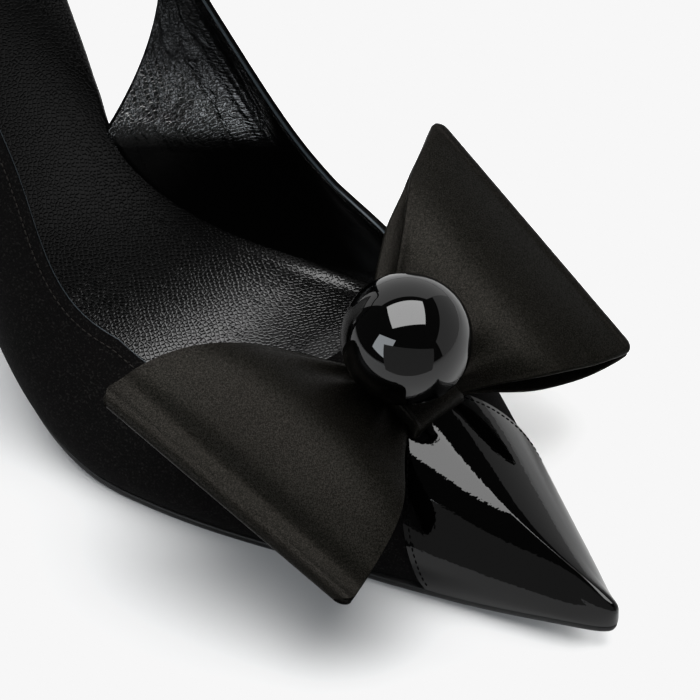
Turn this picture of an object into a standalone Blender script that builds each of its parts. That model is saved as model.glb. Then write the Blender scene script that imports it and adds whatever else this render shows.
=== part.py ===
"""Slingback court shoe, a right one: suede upper, patent toe cap, ribbon bow and a round bead.

Sizes are millimetres and become metres when a mesh is made. A station is a distance behind the toe's tip,
measured along the floor. Side distances are negative on the outer side and positive on the inner side.
"""
import math

import bmesh
import bpy
import numpy as np

MM = 0.001

# Driving dimensions
LENGTH = 225.0
SOLE_THICKNESS = 2.0
INSOLE_THICKNESS = 2.2
WALL = 1.8
GAP = 0.3
THROAT_STATION = 70.0
THROAT_SQUARENESS = 2.6
TOPLINE_START = 104.0
WING_FRONT, WING_REAR = 139.0, 145.0
WING_END_RUN, WING_END_DROP, WING_REAR_HOLLOW = 6.0, 6.0, 4.0
WING_CORNER_SHARE = 0.8
CAVITY_NOSE_STATION, CAVITY_BLEND_STATION = 10.0, 42.0
CAP_SIDE_STATION, CAP_RIDGE_STATION, CAP_EDGE_BEND = 33.5, 48.0, 1.6
CAP_THICKNESS = 0.9
STRAP_WIDTH, STRAP_THICKNESS = 7.0, 1.4
STRAP_LAP_STATION = 136.5
TOP_PIECE_HEIGHT = 6.0
HEEL_SIDE = -0.8
BOW_STATION = 60.8
RIBBON = 1.0
BEAD_DIAMETER = 25.6
BEAD_LIFT = 16.5
OUTER, INNER = -1, 1

# Fineness of the surfaces
UPPER_ROWS, VAMP_COLUMNS, THROAT_COLUMNS, WING_COLUMNS = 13, 16, 9, 13
CAP_ROWS, CAP_COLUMNS = 11, 13
SOLE_RINGS, INSOLE_RINGS, SOLE_COLUMNS = 49, 45, 5
STRAP_COLUMNS, STRAP_ROWS = 30, 3
HEEL_POINTS = 28
LOOP_STEPS, FOLD_STEPS, RIBBON_STEPS = 12, 8, 8
KNOT_STEPS = 11
BEAD_MERIDIANS, BEAD_PARALLELS = 32, 18
SLOPE_STEP = 1e-3
HALVINGS = 40
WELD = 0.02
SHARP_EDGE = math.radians(35)

# Slope of the sole's underside: toe spring, flat tread, arch, heel seat
TREAD = (
    # station, slope
    (0, -0.21),
    (50, 0.0),
    (93, 0.0),
    (141, 1.05),
    (168, 1.05),
    (200, 0.28),
    (LENGTH, 0.20),
)

# Base line of the upper, where it meets the sole
OUTLINE = (
    # station, outer side, inner side
    (0, 0.0, 0.0),
    (3, -2.3, 2.4),
    (10, -5.2, 6.4),
    (25, -11.6, 14.0),
    (40, -17.6, 21.0),
    (60, -26.2, 29.6),
    (78, -33.6, 35.0),
    (92, -37.8, 35.0),
    (106, -40.2, 29.0),
    (120, -39.4, 19.0),
    (132, -36.6, 11.8),
    (143, -33.3, 9.4),
    (155, -30.4, 13.0),
    (170, -27.8, 18.8),
    (190, -26.0, 23.2),
    (206, -24.0, 22.8),
    (217, -17.0, 16.4),
    (LENGTH, 0.0, 0.0),
)

# Sections of the last: ridge, then how far each wall leans out and stands up, and its shoulder's width
SECTIONS = (
    # station, ridge side, ridge height, outer lean, rise, shoulder, inner lean, rise, shoulder
    (0, 0.0, 11.4, 0.0, 2.4, 0.0, 0.0, 2.4, 0.0),
    (10, 0.4, 14.6, 0.5, 4.0, 2.2, 0.6, 4.5, 2.8),
    (25, 1.0, 18.6, 1.0, 6.0, 5.5, 1.6, 7.5, 7.0),
    (40, 1.5, 22.8, 1.6, 8.0, 8.5, 2.4, 10.0, 11.0),
    (61, 1.9, 29.3, 2.8, 10.5, 12.0, 3.6, 13.0, 15.0),
    (80, 2.0, 36.5, 5.0, 12.0, 15.0, 5.0, 15.0, 19.0),
    (104, 1.0, 52.0, 6.5, 14.0, 14.5, 9.0, 18.0, 26.0),
    (124, 0.0, 74.0, 7.0, 20.0, 26.5, 16.0, 24.0, 30.0),
    (145, -1.0, 100.0, 4.0, 28.0, 34.0, 19.0, 26.0, 30.0),
    (175, -1.0, 132.0, 1.0, 30.0, 25.0, 12.0, 30.0, 26.0),
    (205, -0.5, 150.0, 1.0, 30.0, 20.0, 3.0, 30.0, 20.0),
    (LENGTH, 0.0, 155.0, 0.0, 30.0, 0.0, 0.0, 30.0, 0.0),
)

# Topline over the base line, from the throat's sides to the front corner of each wing's end
TOPLINE = (
    # station, outer height, inner height
    (TOPLINE_START, 28.0, 24.5),
    (112, 30.0, 29.0),
    (120, 35.5, 37.0),
    (128, 44.0, 44.5),
    (WING_FRONT, 51.0, 52.5),
)

# How far the sole's edge stands out beyond the base line, and how far the insole's edge stays inside it
SOLE_MARGIN = ((0, 1.0), (40, 1.0), (60, 0.6), (100, 0.3), (130, -1.0), (170, -1.0), (LENGTH, -0.3))
INSOLE_MARGIN = ((0, -2.2), (148, -2.2), (153, -0.5), (LENGTH, -0.5))
INSOLE_START = 14.0
EDGE_ROUND = 0.9

# Centre line of the sling strap, lapped inside the wings at its front ends
STRAP = (
    # station, height over the floor
    (STRAP_LAP_STATION, 70.5),
    (142, 75.5),
    (160, 91.5),
    (185, 110.0),
    (208, 122.0),
    (LENGTH, 127.0),
)

# Slim heel under the seat, from its top edge down to the top piece
HEEL = (
    # share of the drop, centre station, length behind it, length in front of it, half width
    (0.00, 203.0, 20.5, 22.0, 22.0),
    (0.08, 205.4, 18.0, 17.8, 19.0),
    (0.20, 208.8, 14.0, 12.2, 14.4),
    (0.36, 211.4, 10.4, 8.8, 10.4),
    (0.58, 213.2, 7.4, 6.6, 7.4),
    (0.80, 214.2, 5.7, 5.3, 5.7),
    (1.00, 214.6, 5.0, 4.8, 4.8),
)

# A bow loop on the bow's own plane: how far its edges run, and the heights of its two layers
LOOP = (
    # distance from the middle, outer loop's toe and heel edge, inner loop's toe and heel edge, lower, upper
    (6.0, 11.2, 8.5, 10.6, 8.5, 1.6, 3.0),
    (13, 15.2, 16.0, 14.4, 14.4, 1.5, 6.2),
    (20, 20.3, 21.9, 19.4, 19.4, 1.3, 8.6),
    (28, 24.6, 27.6, 23.4, 25.0, 1.3, 8.9),
    (36, 27.6, 31.0, 26.0, 30.2, 1.4, 6.9),
    (43, 29.2, 32.3, 27.0, 33.2, 1.5, 4.0),
)
FOLD_REACH = {OUTER: 46.0, INNER: 45.2}
FOLD_SLANT = 0.1
FOLD_CORNER = 0.08
KNOT_SIDE, KNOT_HALF_WIDTH, KNOT_TOE, KNOT_HEEL, KNOT_CROWN = 1.5, 7.2, 12.0, 7.5, 4.6
KNOT_SIDE_FALL, KNOT_END_FALL = 0.35, 0.4


def spline(places, values):
    """Natural cubic spline through the rows of a table."""
    places, values = np.asarray(places, float), np.asarray(values, float)
    count, step = len(places), np.diff(places)
    slope = np.diff(values) / step
    matrix, right = np.eye(count), np.zeros(count)
    for i in range(1, count - 1):
        matrix[i, i - 1:i + 2] = step[i - 1], 2 * (step[i - 1] + step[i]), step[i]
        right[i] = 6 * (slope[i] - slope[i - 1])
    bend = np.linalg.solve(matrix, right)

    def value(place):
        place = np.asarray(place, float)
        i = np.clip(np.searchsorted(places, place) - 1, 0, count - 2)
        ahead, behind = (places[i + 1] - place) / step[i], (place - places[i]) / step[i]
        curl = (ahead**3 - ahead) * bend[i] + (behind**3 - behind) * bend[i + 1]
        return ahead * values[i] + behind * values[i + 1] + curl * step[i]**2 / 6

    return value


def turn(station):
    """Angle that runs from 0 at the toe's tip to pi at the heel's back, so that both ends come out round."""
    return np.arccos(np.clip(1 - 2 * np.asarray(station, float) / LENGTH, -1, 1))


def station_at(angle):
    return LENGTH * (1 - np.cos(angle)) / 2


TREAD_STATION, TREAD_SLOPE = np.array(TREAD).T
TREAD_CLIMB = np.diff(TREAD_STATION) * (TREAD_SLOPE[1:] + TREAD_SLOPE[:-1]) / 2
TREAD_RISE = np.concatenate([[0], np.cumsum(TREAD_CLIMB)])
TREAD_RISE -= TREAD_RISE.min()
OUTLINE_ROWS = np.array(OUTLINE).T
SIDE_COLUMN = {OUTER: 1, INNER: 2}
BASE_SIDE = {side: spline(turn(OUTLINE_ROWS[0]), OUTLINE_ROWS[row]) for side, row in SIDE_COLUMN.items()}
SECTION_ROWS = np.array(SECTIONS).T
SECTION = [spline(turn(SECTION_ROWS[0]), row) for row in SECTION_ROWS[1:]]
TOPLINE_ROWS = np.array(TOPLINE).T
TOP_HEIGHT = {side: spline(TOPLINE_ROWS[0], TOPLINE_ROWS[row]) for side, row in SIDE_COLUMN.items()}
STRAP_HEIGHT = spline(*np.array(STRAP).T)
LOOP_ROWS = np.array(LOOP).T
OUTER_TOE, OUTER_HEEL, INNER_TOE, INNER_HEEL, LOOP_LOWER, LOOP_UPPER = [
    spline(LOOP_ROWS[0], row) for row in LOOP_ROWS[1:]]
LOOP_EDGES = {OUTER: (OUTER_TOE, OUTER_HEEL), INNER: (INNER_TOE, INNER_HEEL)}
LOOP_FLAT = LOOP_ROWS[0][-1]


def tread_slope(station):
    return np.interp(station, TREAD_STATION, TREAD_SLOPE)


def tread(station):
    """Height of the sole's underside over the floor."""
    station = np.clip(np.asarray(station, float), 0, LENGTH)
    i = np.clip(np.searchsorted(TREAD_STATION, station) - 1, 0, len(TREAD_STATION) - 2)
    run = station - TREAD_STATION[i]
    return TREAD_RISE[i] + run * (TREAD_SLOPE[i] + tread_slope(station)) / 2


def layer_height(station, thickness):
    """Height over the floor of a layer whose thickness is measured square to the sole's underside."""
    return tread(station) + thickness * np.sqrt(1 + tread_slope(station)**2)


def base_height(station):
    """Height of the upper's lower edge, a gap above the sole."""
    return layer_height(station, SOLE_THICKNESS + GAP)


def last_point(side, angle, climb):
    """Point of the last's surface: climb runs from 0 at the base line to 1 at the ridge."""
    station = station_at(angle)
    ridge_side, ridge_height, *walls = [column(angle) for column in SECTION]
    lean, rise, shoulder = walls[:3] if side == OUTER else walls[3:]
    foot_side, foot_height = BASE_SIDE[side](angle), base_height(station)
    across = (foot_side, foot_side + side * lean, ridge_side + side * shoulder, ridge_side)
    upward = (foot_height, foot_height + rise, ridge_height, ridge_height)
    weights = ((1 - climb)**3, 3 * climb * (1 - climb)**2, 3 * climb**2 * (1 - climb), climb**3)
    y = sum(w * p for w, p in zip(weights, across))
    z = sum(w * p for w, p in zip(weights, upward))
    return np.stack(np.broadcast_arrays(-station, y, z), -1)


def last_offset(side, angle, climb, distance):
    """Point a distance outside the last's surface, inside it where negative, never below the base line."""
    angle, climb = np.broadcast_arrays(np.asarray(angle, float), np.asarray(climb, float))
    along = (last_point(side, np.minimum(angle + SLOPE_STEP, math.pi), climb)
             - last_point(side, np.maximum(angle - SLOPE_STEP, 0), climb))
    upward = (last_point(side, angle, np.minimum(climb + SLOPE_STEP, 1))
              - last_point(side, angle, np.maximum(climb - SLOPE_STEP, 0)))
    upward[climb >= 1] = (0.0, -side, 0.0)
    normal = np.cross(along, upward) * side
    normal[(angle <= 0) | (angle >= math.pi), 1] = 0.0
    normal /= np.linalg.norm(normal, axis=-1, keepdims=True)
    point = last_point(side, angle, climb) + normal * distance
    point[..., 2] = np.maximum(point[..., 2], base_height(-point[..., 0]))
    return point


def climb_at_height(side, angle, height):
    """How far up the section a height over the floor lies."""
    low, high = np.zeros(np.shape(angle)), np.ones(np.shape(angle))
    for _ in range(HALVINGS):
        middle = (low + high) / 2
        below = last_point(side, angle, middle)[..., 2] < height
        low, high = np.where(below, middle, low), np.where(below, high, middle)
    return low


def climb_at_side(side, angle, distance):
    """How far up the section a side distance lies, on its upper half, which leans in to the ridge."""
    low, high = 0.5, 1.0
    for _ in range(HALVINGS):
        middle = (low + high) / 2
        outside = side * last_point(side, angle, middle)[1] > side * distance
        low, high = (middle, high) if outside else (low, middle)
    return low


def topline_height(side, station):
    return base_height(station) + TOP_HEIGHT[side](station)


def make_object(name, mesh, material):
    mesh.materials.append(material)
    mesh.shade_smooth()
    mesh.set_sharp_from_angle(angle=SHARP_EDGE)
    part = bpy.data.objects.new(name, mesh)
    bpy.context.scene.collection.objects.link(part)
    return part


def make_material(name, colour, roughness, coat=0.0):
    material = bpy.data.materials.new(name)
    material.use_nodes = True
    shader = material.node_tree.nodes["Principled BSDF"]
    shader.inputs["Base Color"].default_value = (*colour, 1)
    shader.inputs["Roughness"].default_value = roughness
    shader.inputs["Metallic"].default_value = 0.0
    shader.inputs["Coat Weight"].default_value = coat
    return material


class Surface:
    """Faces gathered from grids of points in millimetres, then welded into one closed mesh."""

    def __init__(self):
        self.points, self.faces = [], []

    def strip(self, first, second):
        """Faces between two rows of the same number of points."""
        start, count = len(self.points), len(first)
        self.points += [tuple(p) for p in first] + [tuple(p) for p in second]
        for i in range(count - 1):
            self.faces.append((start + i, start + i + 1, start + count + i + 1, start + count + i))

    def grid(self, rows):
        for first, second in zip(rows[:-1], rows[1:]):
            self.strip(first, second)

    def fan(self, rim):
        """One flat face over a closed rim."""
        start = len(self.points)
        self.points += [tuple(p) for p in rim]
        self.faces.append(tuple(range(start, start + len(rim))))

    def shell(self, outside, inside):
        """Closed wall between two grids of the same shape."""
        self.grid(outside)
        self.grid([row[::-1] for row in inside])
        for edge in (0, -1):
            pair = (inside[edge], outside[edge]) if edge == 0 else (outside[edge], inside[edge])
            self.strip(*pair)
        outside, inside = np.asarray(outside), np.asarray(inside)
        self.strip(outside[:, 0], inside[:, 0])
        self.strip(inside[:, -1], outside[:, -1])

    def object(self, name, material):
        mesh = bpy.data.meshes.new(name)
        mesh.from_pydata([tuple(c * MM for c in p) for p in self.points], [], self.faces)
        work = bmesh.new()
        work.from_mesh(mesh)
        bmesh.ops.remove_doubles(work, verts=work.verts, dist=WELD * MM)
        bmesh.ops.dissolve_degenerate(work, edges=work.edges, dist=WELD * MM)
        bmesh.ops.recalc_face_normals(work, faces=work.faces)
        bmesh.ops.triangulate(work, faces=work.faces)
        work.to_mesh(mesh)
        work.free()
        return make_object(name, mesh, material)


def upper_columns(side):
    """Columns of the upper from the toe's tip to the wing's rear cut: angle and climb of each row."""
    shares = np.linspace(0, 1, UPPER_ROWS)
    columns = []
    for angle in np.linspace(0, turn(THROAT_STATION), VAMP_COLUMNS + 1)[:-1]:
        columns.append((np.full(shares.shape, angle), shares))
    start_angle = turn(TOPLINE_START)
    start_climb = climb_at_height(side, start_angle, topline_height(side, TOPLINE_START))
    for along in np.linspace(0, 1, THROAT_COLUMNS + 1)[:-1]**2:
        station = THROAT_STATION + (TOPLINE_START - THROAT_STATION) * along
        throat = 1 - (1 - start_climb) * math.sqrt(1 - (1 - along)**THROAT_SQUARENESS)
        columns.append((np.full(shares.shape, turn(station)), shares * throat))
    for share in np.linspace(0, 1, WING_COLUMNS):
        columns.append(wing_column(side, share, shares))
    return columns


def wing_column(side, share, shares):
    """Column of a wing: the end is cut square to the strap, and the last column is the hollow rear cut."""
    foot = TOPLINE_START + (WING_REAR - TOPLINE_START) * share
    if share <= WING_CORNER_SHARE:
        top_station = TOPLINE_START + (WING_FRONT - TOPLINE_START) * share / WING_CORNER_SHARE
        top = topline_height(side, top_station)
    else:
        across = (share - WING_CORNER_SHARE) / (1 - WING_CORNER_SHARE)
        top_station = WING_FRONT + WING_END_RUN * across
        top = topline_height(side, WING_FRONT) - WING_END_DROP * across
    hollow = WING_REAR_HOLLOW * share**4
    stations = foot + (top_station - foot) * shares - hollow * 4 * shares * (1 - shares)
    heights = base_height(foot) + (top - base_height(foot)) * shares
    angles = turn(stations)
    return angles, climb_at_height(side, angles, np.maximum(heights, base_height(stations)))


def inside_angle(angle):
    """The cavity ends short of the toe's tip: angles close to the tip are moved back."""
    ease = np.clip(angle / turn(CAVITY_BLEND_STATION), 0, 1)
    return angle + turn(CAVITY_NOSE_STATION) * (1 - ease)**2


def upper(material):
    body = Surface()
    noses = []
    for side in (OUTER, INNER):
        columns = upper_columns(side)
        outside = [last_offset(side, angle, climb, 0.0) for angle, climb in columns]
        inside = [last_offset(side, inside_angle(angle), climb, -WALL) for angle, climb in columns]
        body.grid(outside)
        body.grid(inside)
        body.strip([column[0] for column in outside], [column[0] for column in inside])
        body.strip([column[-1] for column in outside[VAMP_COLUMNS:]],
                   [column[-1] for column in inside[VAMP_COLUMNS:]])
        body.strip(outside[-1], inside[-1])
        noses.append(inside[0])
    body.strip(*noses)
    tip = last_offset(OUTER, 0.0, 0.0, 0.0)
    body.fan((tip, noses[0][0], noses[1][0]))
    return body.object("upper", material)


def toe_cap(material):
    """Overlay cut between two forms that stand outside the upper's own surface."""
    cap = Surface()
    climbs = np.linspace(0, 1, CAP_ROWS)
    bend = 1 - (1 - climbs)**CAP_EDGE_BEND
    edge = turn(CAP_SIDE_STATION + (CAP_RIDGE_STATION - CAP_SIDE_STATION) * bend)
    for side in (OUTER, INNER):
        outside, inside = [], []
        for share in np.linspace(0, 1, CAP_COLUMNS):
            outside.append(last_offset(side, share * edge, climbs, GAP + CAP_THICKNESS))
            inside.append(last_offset(side, share * edge, climbs, GAP))
        cap.grid(outside)
        cap.grid(inside)
        cap.strip([column[0] for column in outside], [column[0] for column in inside])
        cap.strip(outside[-1], inside[-1])
    return cap.object("toe_cap", material)


def plan_edge(side, angle, margin):
    """Point of the base line in plan, moved out by a margin square to it."""
    ends = np.clip(np.array([angle - SLOPE_STEP, angle + SLOPE_STEP]), 0, math.pi)
    along_x, along_y = np.diff(-station_at(ends))[0], np.diff(BASE_SIDE[side](ends))[0]
    length = math.hypot(along_x, along_y)
    x = -station_at(angle) + side * margin * along_y / length
    y = BASE_SIDE[side](angle) - side * margin * along_x / length
    return np.array([x, y])


def sole_ring(angle, margins, low, high):
    """Section of a sole layer: flat faces, with the edge of its underside rounded off."""
    margin = np.interp(station_at(angle), *np.array(margins).T)
    outer, inner = [plan_edge(side, angle, margin) for side in (OUTER, INNER)]
    outer_under, inner_under = [plan_edge(side, angle, margin - EDGE_ROUND) for side in (OUTER, INNER)]
    shares = np.linspace(0, 1, SOLE_COLUMNS)
    edge = low + EDGE_ROUND
    top = [(outer + (inner - outer) * share, high) for share in shares]
    bottom = [(inner_under + (outer_under - inner_under) * share, low) for share in shares]
    ring = top + [(inner, edge)] + bottom + [(outer, edge), top[0]]
    return [(x, y, layer_height(-x, level)) for (x, y), level in ring]


def outsole(material):
    sole = Surface()
    sole.grid([sole_ring(angle, SOLE_MARGIN, 0.0, SOLE_THICKNESS)
               for angle in np.linspace(0, math.pi, SOLE_RINGS)])
    return sole.object("outsole", material)


def insole(material):
    low = SOLE_THICKNESS + GAP
    sock = Surface()
    rings = [sole_ring(angle, INSOLE_MARGIN, low, low + INSOLE_THICKNESS)
             for angle in np.linspace(turn(INSOLE_START), math.pi, INSOLE_RINGS)]
    sock.grid(rings)
    sock.fan(rings[0][:-1])
    return sock.object("insole", material)


def sling_strap(material):
    """Band round the heel, cut from the last's surface inside the wings' wall."""
    band = Surface()
    angles = np.linspace(turn(STRAP_LAP_STATION), math.pi, STRAP_COLUMNS)
    shares = np.linspace(-1, 1, STRAP_ROWS)
    outside, inside = [], []
    for side, order in ((OUTER, angles), (INNER, angles[::-1])):
        for angle in order:
            ends = np.clip(np.array([angle - SLOPE_STEP, angle + SLOPE_STEP]), 0, math.pi)
            heights = STRAP_HEIGHT(station_at(ends))
            ground = np.diff(last_point(side, ends, 0.5), axis=0)[0][:2]
            climb_rate = (heights[1] - heights[0]) / np.linalg.norm(ground)
            half = STRAP_WIDTH / 2 * math.sqrt(1 + climb_rate**2)
            levels = STRAP_HEIGHT(station_at(angle)) + half * shares
            climbs = climb_at_height(side, np.full(shares.shape, angle), levels)
            outside.append(last_offset(side, angle, climbs, -WALL - GAP))
            inside.append(last_offset(side, angle, climbs, -WALL - GAP - STRAP_THICKNESS))
    band.shell(outside, inside)
    return band.object("sling_strap", material)


def oval(centre, behind, front, half_width):
    """Points of an oval in plan: station and side."""
    angles = np.linspace(0, 2 * math.pi, HEEL_POINTS + 1)
    reach = np.where(np.cos(angles) > 0, behind, front)
    return centre + reach * np.cos(angles), HEEL_SIDE + half_width * np.sin(angles)


def heel(material):
    block = Surface()
    rings = []
    centre, *reaches = HEEL[0][1:]
    for scale in (0.0, 0.5):
        station, side = oval(centre, *[scale * reach for reach in reaches])
        rings.append(np.stack([-station, side, layer_height(station, -GAP)], -1))
    for share, *row in HEEL:
        station, side = oval(*row)
        height = (1 - share) * layer_height(station, -GAP) + share * (TOP_PIECE_HEIGHT + GAP)
        rings.append(np.stack([-station, side, height], -1))
    block.grid(rings)
    block.fan(rings[-1][:-1])
    return block.object("heel", material)


def heel_tip(material):
    piece = Surface()
    station, side = oval(*HEEL[-1][1:])
    rings = [np.stack([-station, side, np.full(station.shape, height)], -1)
             for height in (TOP_PIECE_HEIGHT, 0.0)]
    piece.grid(rings)
    for ring in rings:
        piece.fan(ring[:-1])
    return piece.object("heel_tip", material)


def bow_frame():
    """The bow's middle on the vamp's ridge, with the ways to the toe, to the inner side and up from it."""
    step = 0.02
    root, ahead = [last_point(OUTER, turn(BOW_STATION) - d, 1.0) for d in (0.0, step)]
    toe = ahead - root
    toe[1] = 0.0
    toe /= np.linalg.norm(toe)
    return root, toe, np.array([0.0, 1.0, 0.0]), np.cross(toe, (0.0, 1.0, 0.0))


def bow_point(toe, out, high):
    root, toe_way, out_way, up_way = bow_frame()
    return root + toe * toe_way + out * out_way + high * up_way


def loop_path(side, skin):
    """Distance and height along a loop: out on the lower layer, round the fold, back on the upper layer."""
    start = KNOT_HALF_WIDTH + side * KNOT_SIDE + 2 * GAP
    out = np.linspace(start, LOOP_FLAT, LOOP_STEPS)
    lower, upper = LOOP_LOWER(out) - skin, LOOP_UPPER(out) + skin
    middle, half = (lower[-1] + upper[-1]) / 2, (upper[-1] - lower[-1]) / 2
    path = [(d, h, 0.0) for d, h in zip(out, lower)]
    for angle in np.linspace(-math.pi / 2, math.pi / 2, FOLD_STEPS)[1:-1]:
        reach = (FOLD_REACH[side] - RIBBON / 2 + skin - LOOP_FLAT) * math.cos(angle)
        path.append((LOOP_FLAT + reach, middle + half * math.sin(angle), math.cos(angle)))
    return path + [(d, h, 0.0) for d, h in zip(out[::-1], upper[::-1])]


def bow_loop(side, name, material):
    """Ribbon folded back on itself, as wide as the table says, with the fold slanting in towards the toe."""
    loop = Surface()
    shares = np.linspace(0, 1, RIBBON_STEPS)
    grids = []
    for skin in (RIBBON / 2, -RIBBON / 2):
        rows = []
        for distance, height, fold in loop_path(side, skin):
            corner = 1 - FOLD_CORNER * fold**2
            toe, heel_edge = [edge(min(distance, LOOP_FLAT)) * corner for edge in LOOP_EDGES[side]]
            row = []
            for share in shares:
                along = toe * share - heel_edge * (1 - share)
                out = distance * (1 - FOLD_SLANT * along / FOLD_REACH[side])
                row.append(bow_point(along, side * out, height))
            rows.append(row)
        grids.append(np.array(rows))
    loop.shell(*grids)
    return loop.object(name, material)


def bow_knot(material):
    """Satin band over the bow's middle: its underside follows the vamp, its top is dished for the bead."""
    knot = Surface()
    up_way = bow_frame()[3]
    top, bottom = [], []
    radius = BEAD_DIAMETER / 2 + GAP
    for along_share in np.linspace(-1, 1, KNOT_STEPS):
        along = along_share * (KNOT_TOE if along_share > 0 else KNOT_HEEL)
        top_row, bottom_row = [], []
        for out_share in np.linspace(-1, 1, KNOT_STEPS):
            out = KNOT_SIDE + out_share * KNOT_HALF_WIDTH
            crown = KNOT_CROWN * (1 - KNOT_SIDE_FALL * out_share**4) * (1 - KNOT_END_FALL * along_share**4)
            seat = BEAD_LIFT - math.sqrt(max(radius**2 - along**2 - out**2, 0.0))
            top_row.append(bow_point(along, out, min(crown, seat)))
            bottom_row.append(seat_on_vamp(bow_point(along, out, 0.0), up_way))
        top.append(top_row)
        bottom.append(bottom_row)
    knot.shell(top, bottom)
    return knot.object("bow_knot", material)


def seat_on_vamp(point, up_way):
    """Point moved along the bow's upright until it lies a gap above the vamp."""
    for _ in range(6):
        angle = turn(-point[0])
        ridge_side = float(SECTION[0](angle))
        side = INNER if point[1] > ridge_side else OUTER
        surface = last_point(side, angle, climb_at_side(side, angle, point[1]))
        point = point + up_way * (surface[2] + GAP - point[2])
    return point


def bead(material):
    mesh = bpy.data.meshes.new("bead")
    work = bmesh.new()
    bmesh.ops.create_uvsphere(work, u_segments=BEAD_MERIDIANS, v_segments=BEAD_PARALLELS,
                              radius=BEAD_DIAMETER / 2 * MM)
    bmesh.ops.triangulate(work, faces=work.faces)
    work.to_mesh(mesh)
    work.free()
    ball = make_object("bead", mesh, material)
    ball.location = bow_point(0.0, 0.0, BEAD_LIFT) * MM
    return ball


def stand_on_origin(parts):
    """Parent the pieces to an empty that sets their box on the floor, centred on the origin."""
    corners = []
    for part in parts:
        corners += [part.location + vertex.co for vertex in part.data.vertices]
    corners = np.array(corners)
    middle = (corners.min(0) + corners.max(0)) / 2
    shoe = bpy.data.objects.new("shoe", None)
    bpy.context.scene.collection.objects.link(shoe)
    shoe.location = (-middle[0], -middle[1], -corners[:, 2].min())
    for part in parts:
        part.parent = shoe


def main():
    for old in list(bpy.data.objects):
        bpy.data.objects.remove(old, do_unlink=True)
    suede = make_material("black suede", (0.010, 0.010, 0.010), 0.95)
    patent = make_material("black patent leather", (0.004, 0.004, 0.004), 0.08, coat=1.0)
    leather = make_material("black grained leather", (0.012, 0.012, 0.012), 0.45)
    sole_leather = make_material("black sole leather", (0.016, 0.016, 0.016), 0.4)
    satin = make_material("black satin ribbon", (0.014, 0.013, 0.012), 0.42)
    gloss = make_material("black polished bead", (0.004, 0.004, 0.004), 0.03, coat=1.0)
    rubber = make_material("black rubber", (0.015, 0.015, 0.015), 0.7)
    stand_on_origin([
        outsole(sole_leather),
        insole(leather),
        upper(suede),
        toe_cap(patent),
        sling_strap(suede),
        heel(suede),
        heel_tip(rubber),
        bow_loop(OUTER, "bow_loop_lateral", satin),
        bow_loop(INNER, "bow_loop_medial", satin),
        bow_knot(satin),
        bead(gloss),
    ])


main()
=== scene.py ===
import math

import bmesh
import bpy
import numpy as np
from mathutils import Matrix, Vector
from mathutils.bvhtree import BVHTree


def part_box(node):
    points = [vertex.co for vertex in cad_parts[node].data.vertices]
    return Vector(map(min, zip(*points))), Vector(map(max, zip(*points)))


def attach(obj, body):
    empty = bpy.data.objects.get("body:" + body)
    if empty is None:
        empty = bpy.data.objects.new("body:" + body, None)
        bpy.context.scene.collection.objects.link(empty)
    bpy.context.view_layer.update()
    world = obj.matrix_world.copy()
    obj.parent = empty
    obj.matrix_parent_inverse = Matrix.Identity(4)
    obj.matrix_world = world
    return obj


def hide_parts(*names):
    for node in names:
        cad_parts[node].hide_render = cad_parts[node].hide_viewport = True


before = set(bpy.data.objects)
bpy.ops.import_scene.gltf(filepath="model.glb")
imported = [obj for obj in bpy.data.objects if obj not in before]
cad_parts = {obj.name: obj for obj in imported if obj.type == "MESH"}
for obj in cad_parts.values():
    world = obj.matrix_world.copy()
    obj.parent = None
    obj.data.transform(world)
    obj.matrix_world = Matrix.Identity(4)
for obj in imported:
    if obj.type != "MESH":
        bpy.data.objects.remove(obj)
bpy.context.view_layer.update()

MM = 0.001
OUTER, INNER = -1, 1
# Small step of an angle or a climb, to find the way a surface runs
STEP = 1e-3

# The shoe's sizes in millimetres, close to those of its solids. A station is a distance behind the toe's tip,
# and side distances are negative on the outer side and positive on the inner side.
LENGTH = 225.0
SOLE_THICKNESS, INSOLE_THICKNESS, WALL, GAP = 2.0, 2.2, 1.8, 0.3
THROAT_STATION, THROAT_SQUARENESS, TOPLINE_START = 70.0, 2.6, 104.0
WING_FRONT, WING_REAR = 139.0, 145.0
WING_END_RUN, WING_END_DROP, WING_REAR_HOLLOW, WING_CORNER_SHARE = 6.0, 6.0, 1.0, 0.8
CAVITY_NOSE_STATION, CAVITY_BLEND_STATION = 10.0, 42.0
CAP_SIDE_STATION, CAP_RIDGE_STATION, CAP_THICKNESS = 34.0, 60.0, 0.9
CAP_EDGE_BEND = {OUTER: 0.56, INNER: 0.78}
STRAP_WIDTH, STRAP_THICKNESS, STRAP_LAP_STATION = 7.0, 1.4, 136.5
TOP_PIECE_HEIGHT, HEEL_SIDE = 6.0, -0.8
BOW_STATION, RIBBON, BEAD_DIAMETER, BEAD_LIFT = 60.8, 1.0, 25.6, 16.5
INSOLE_START = 14.0

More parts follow.
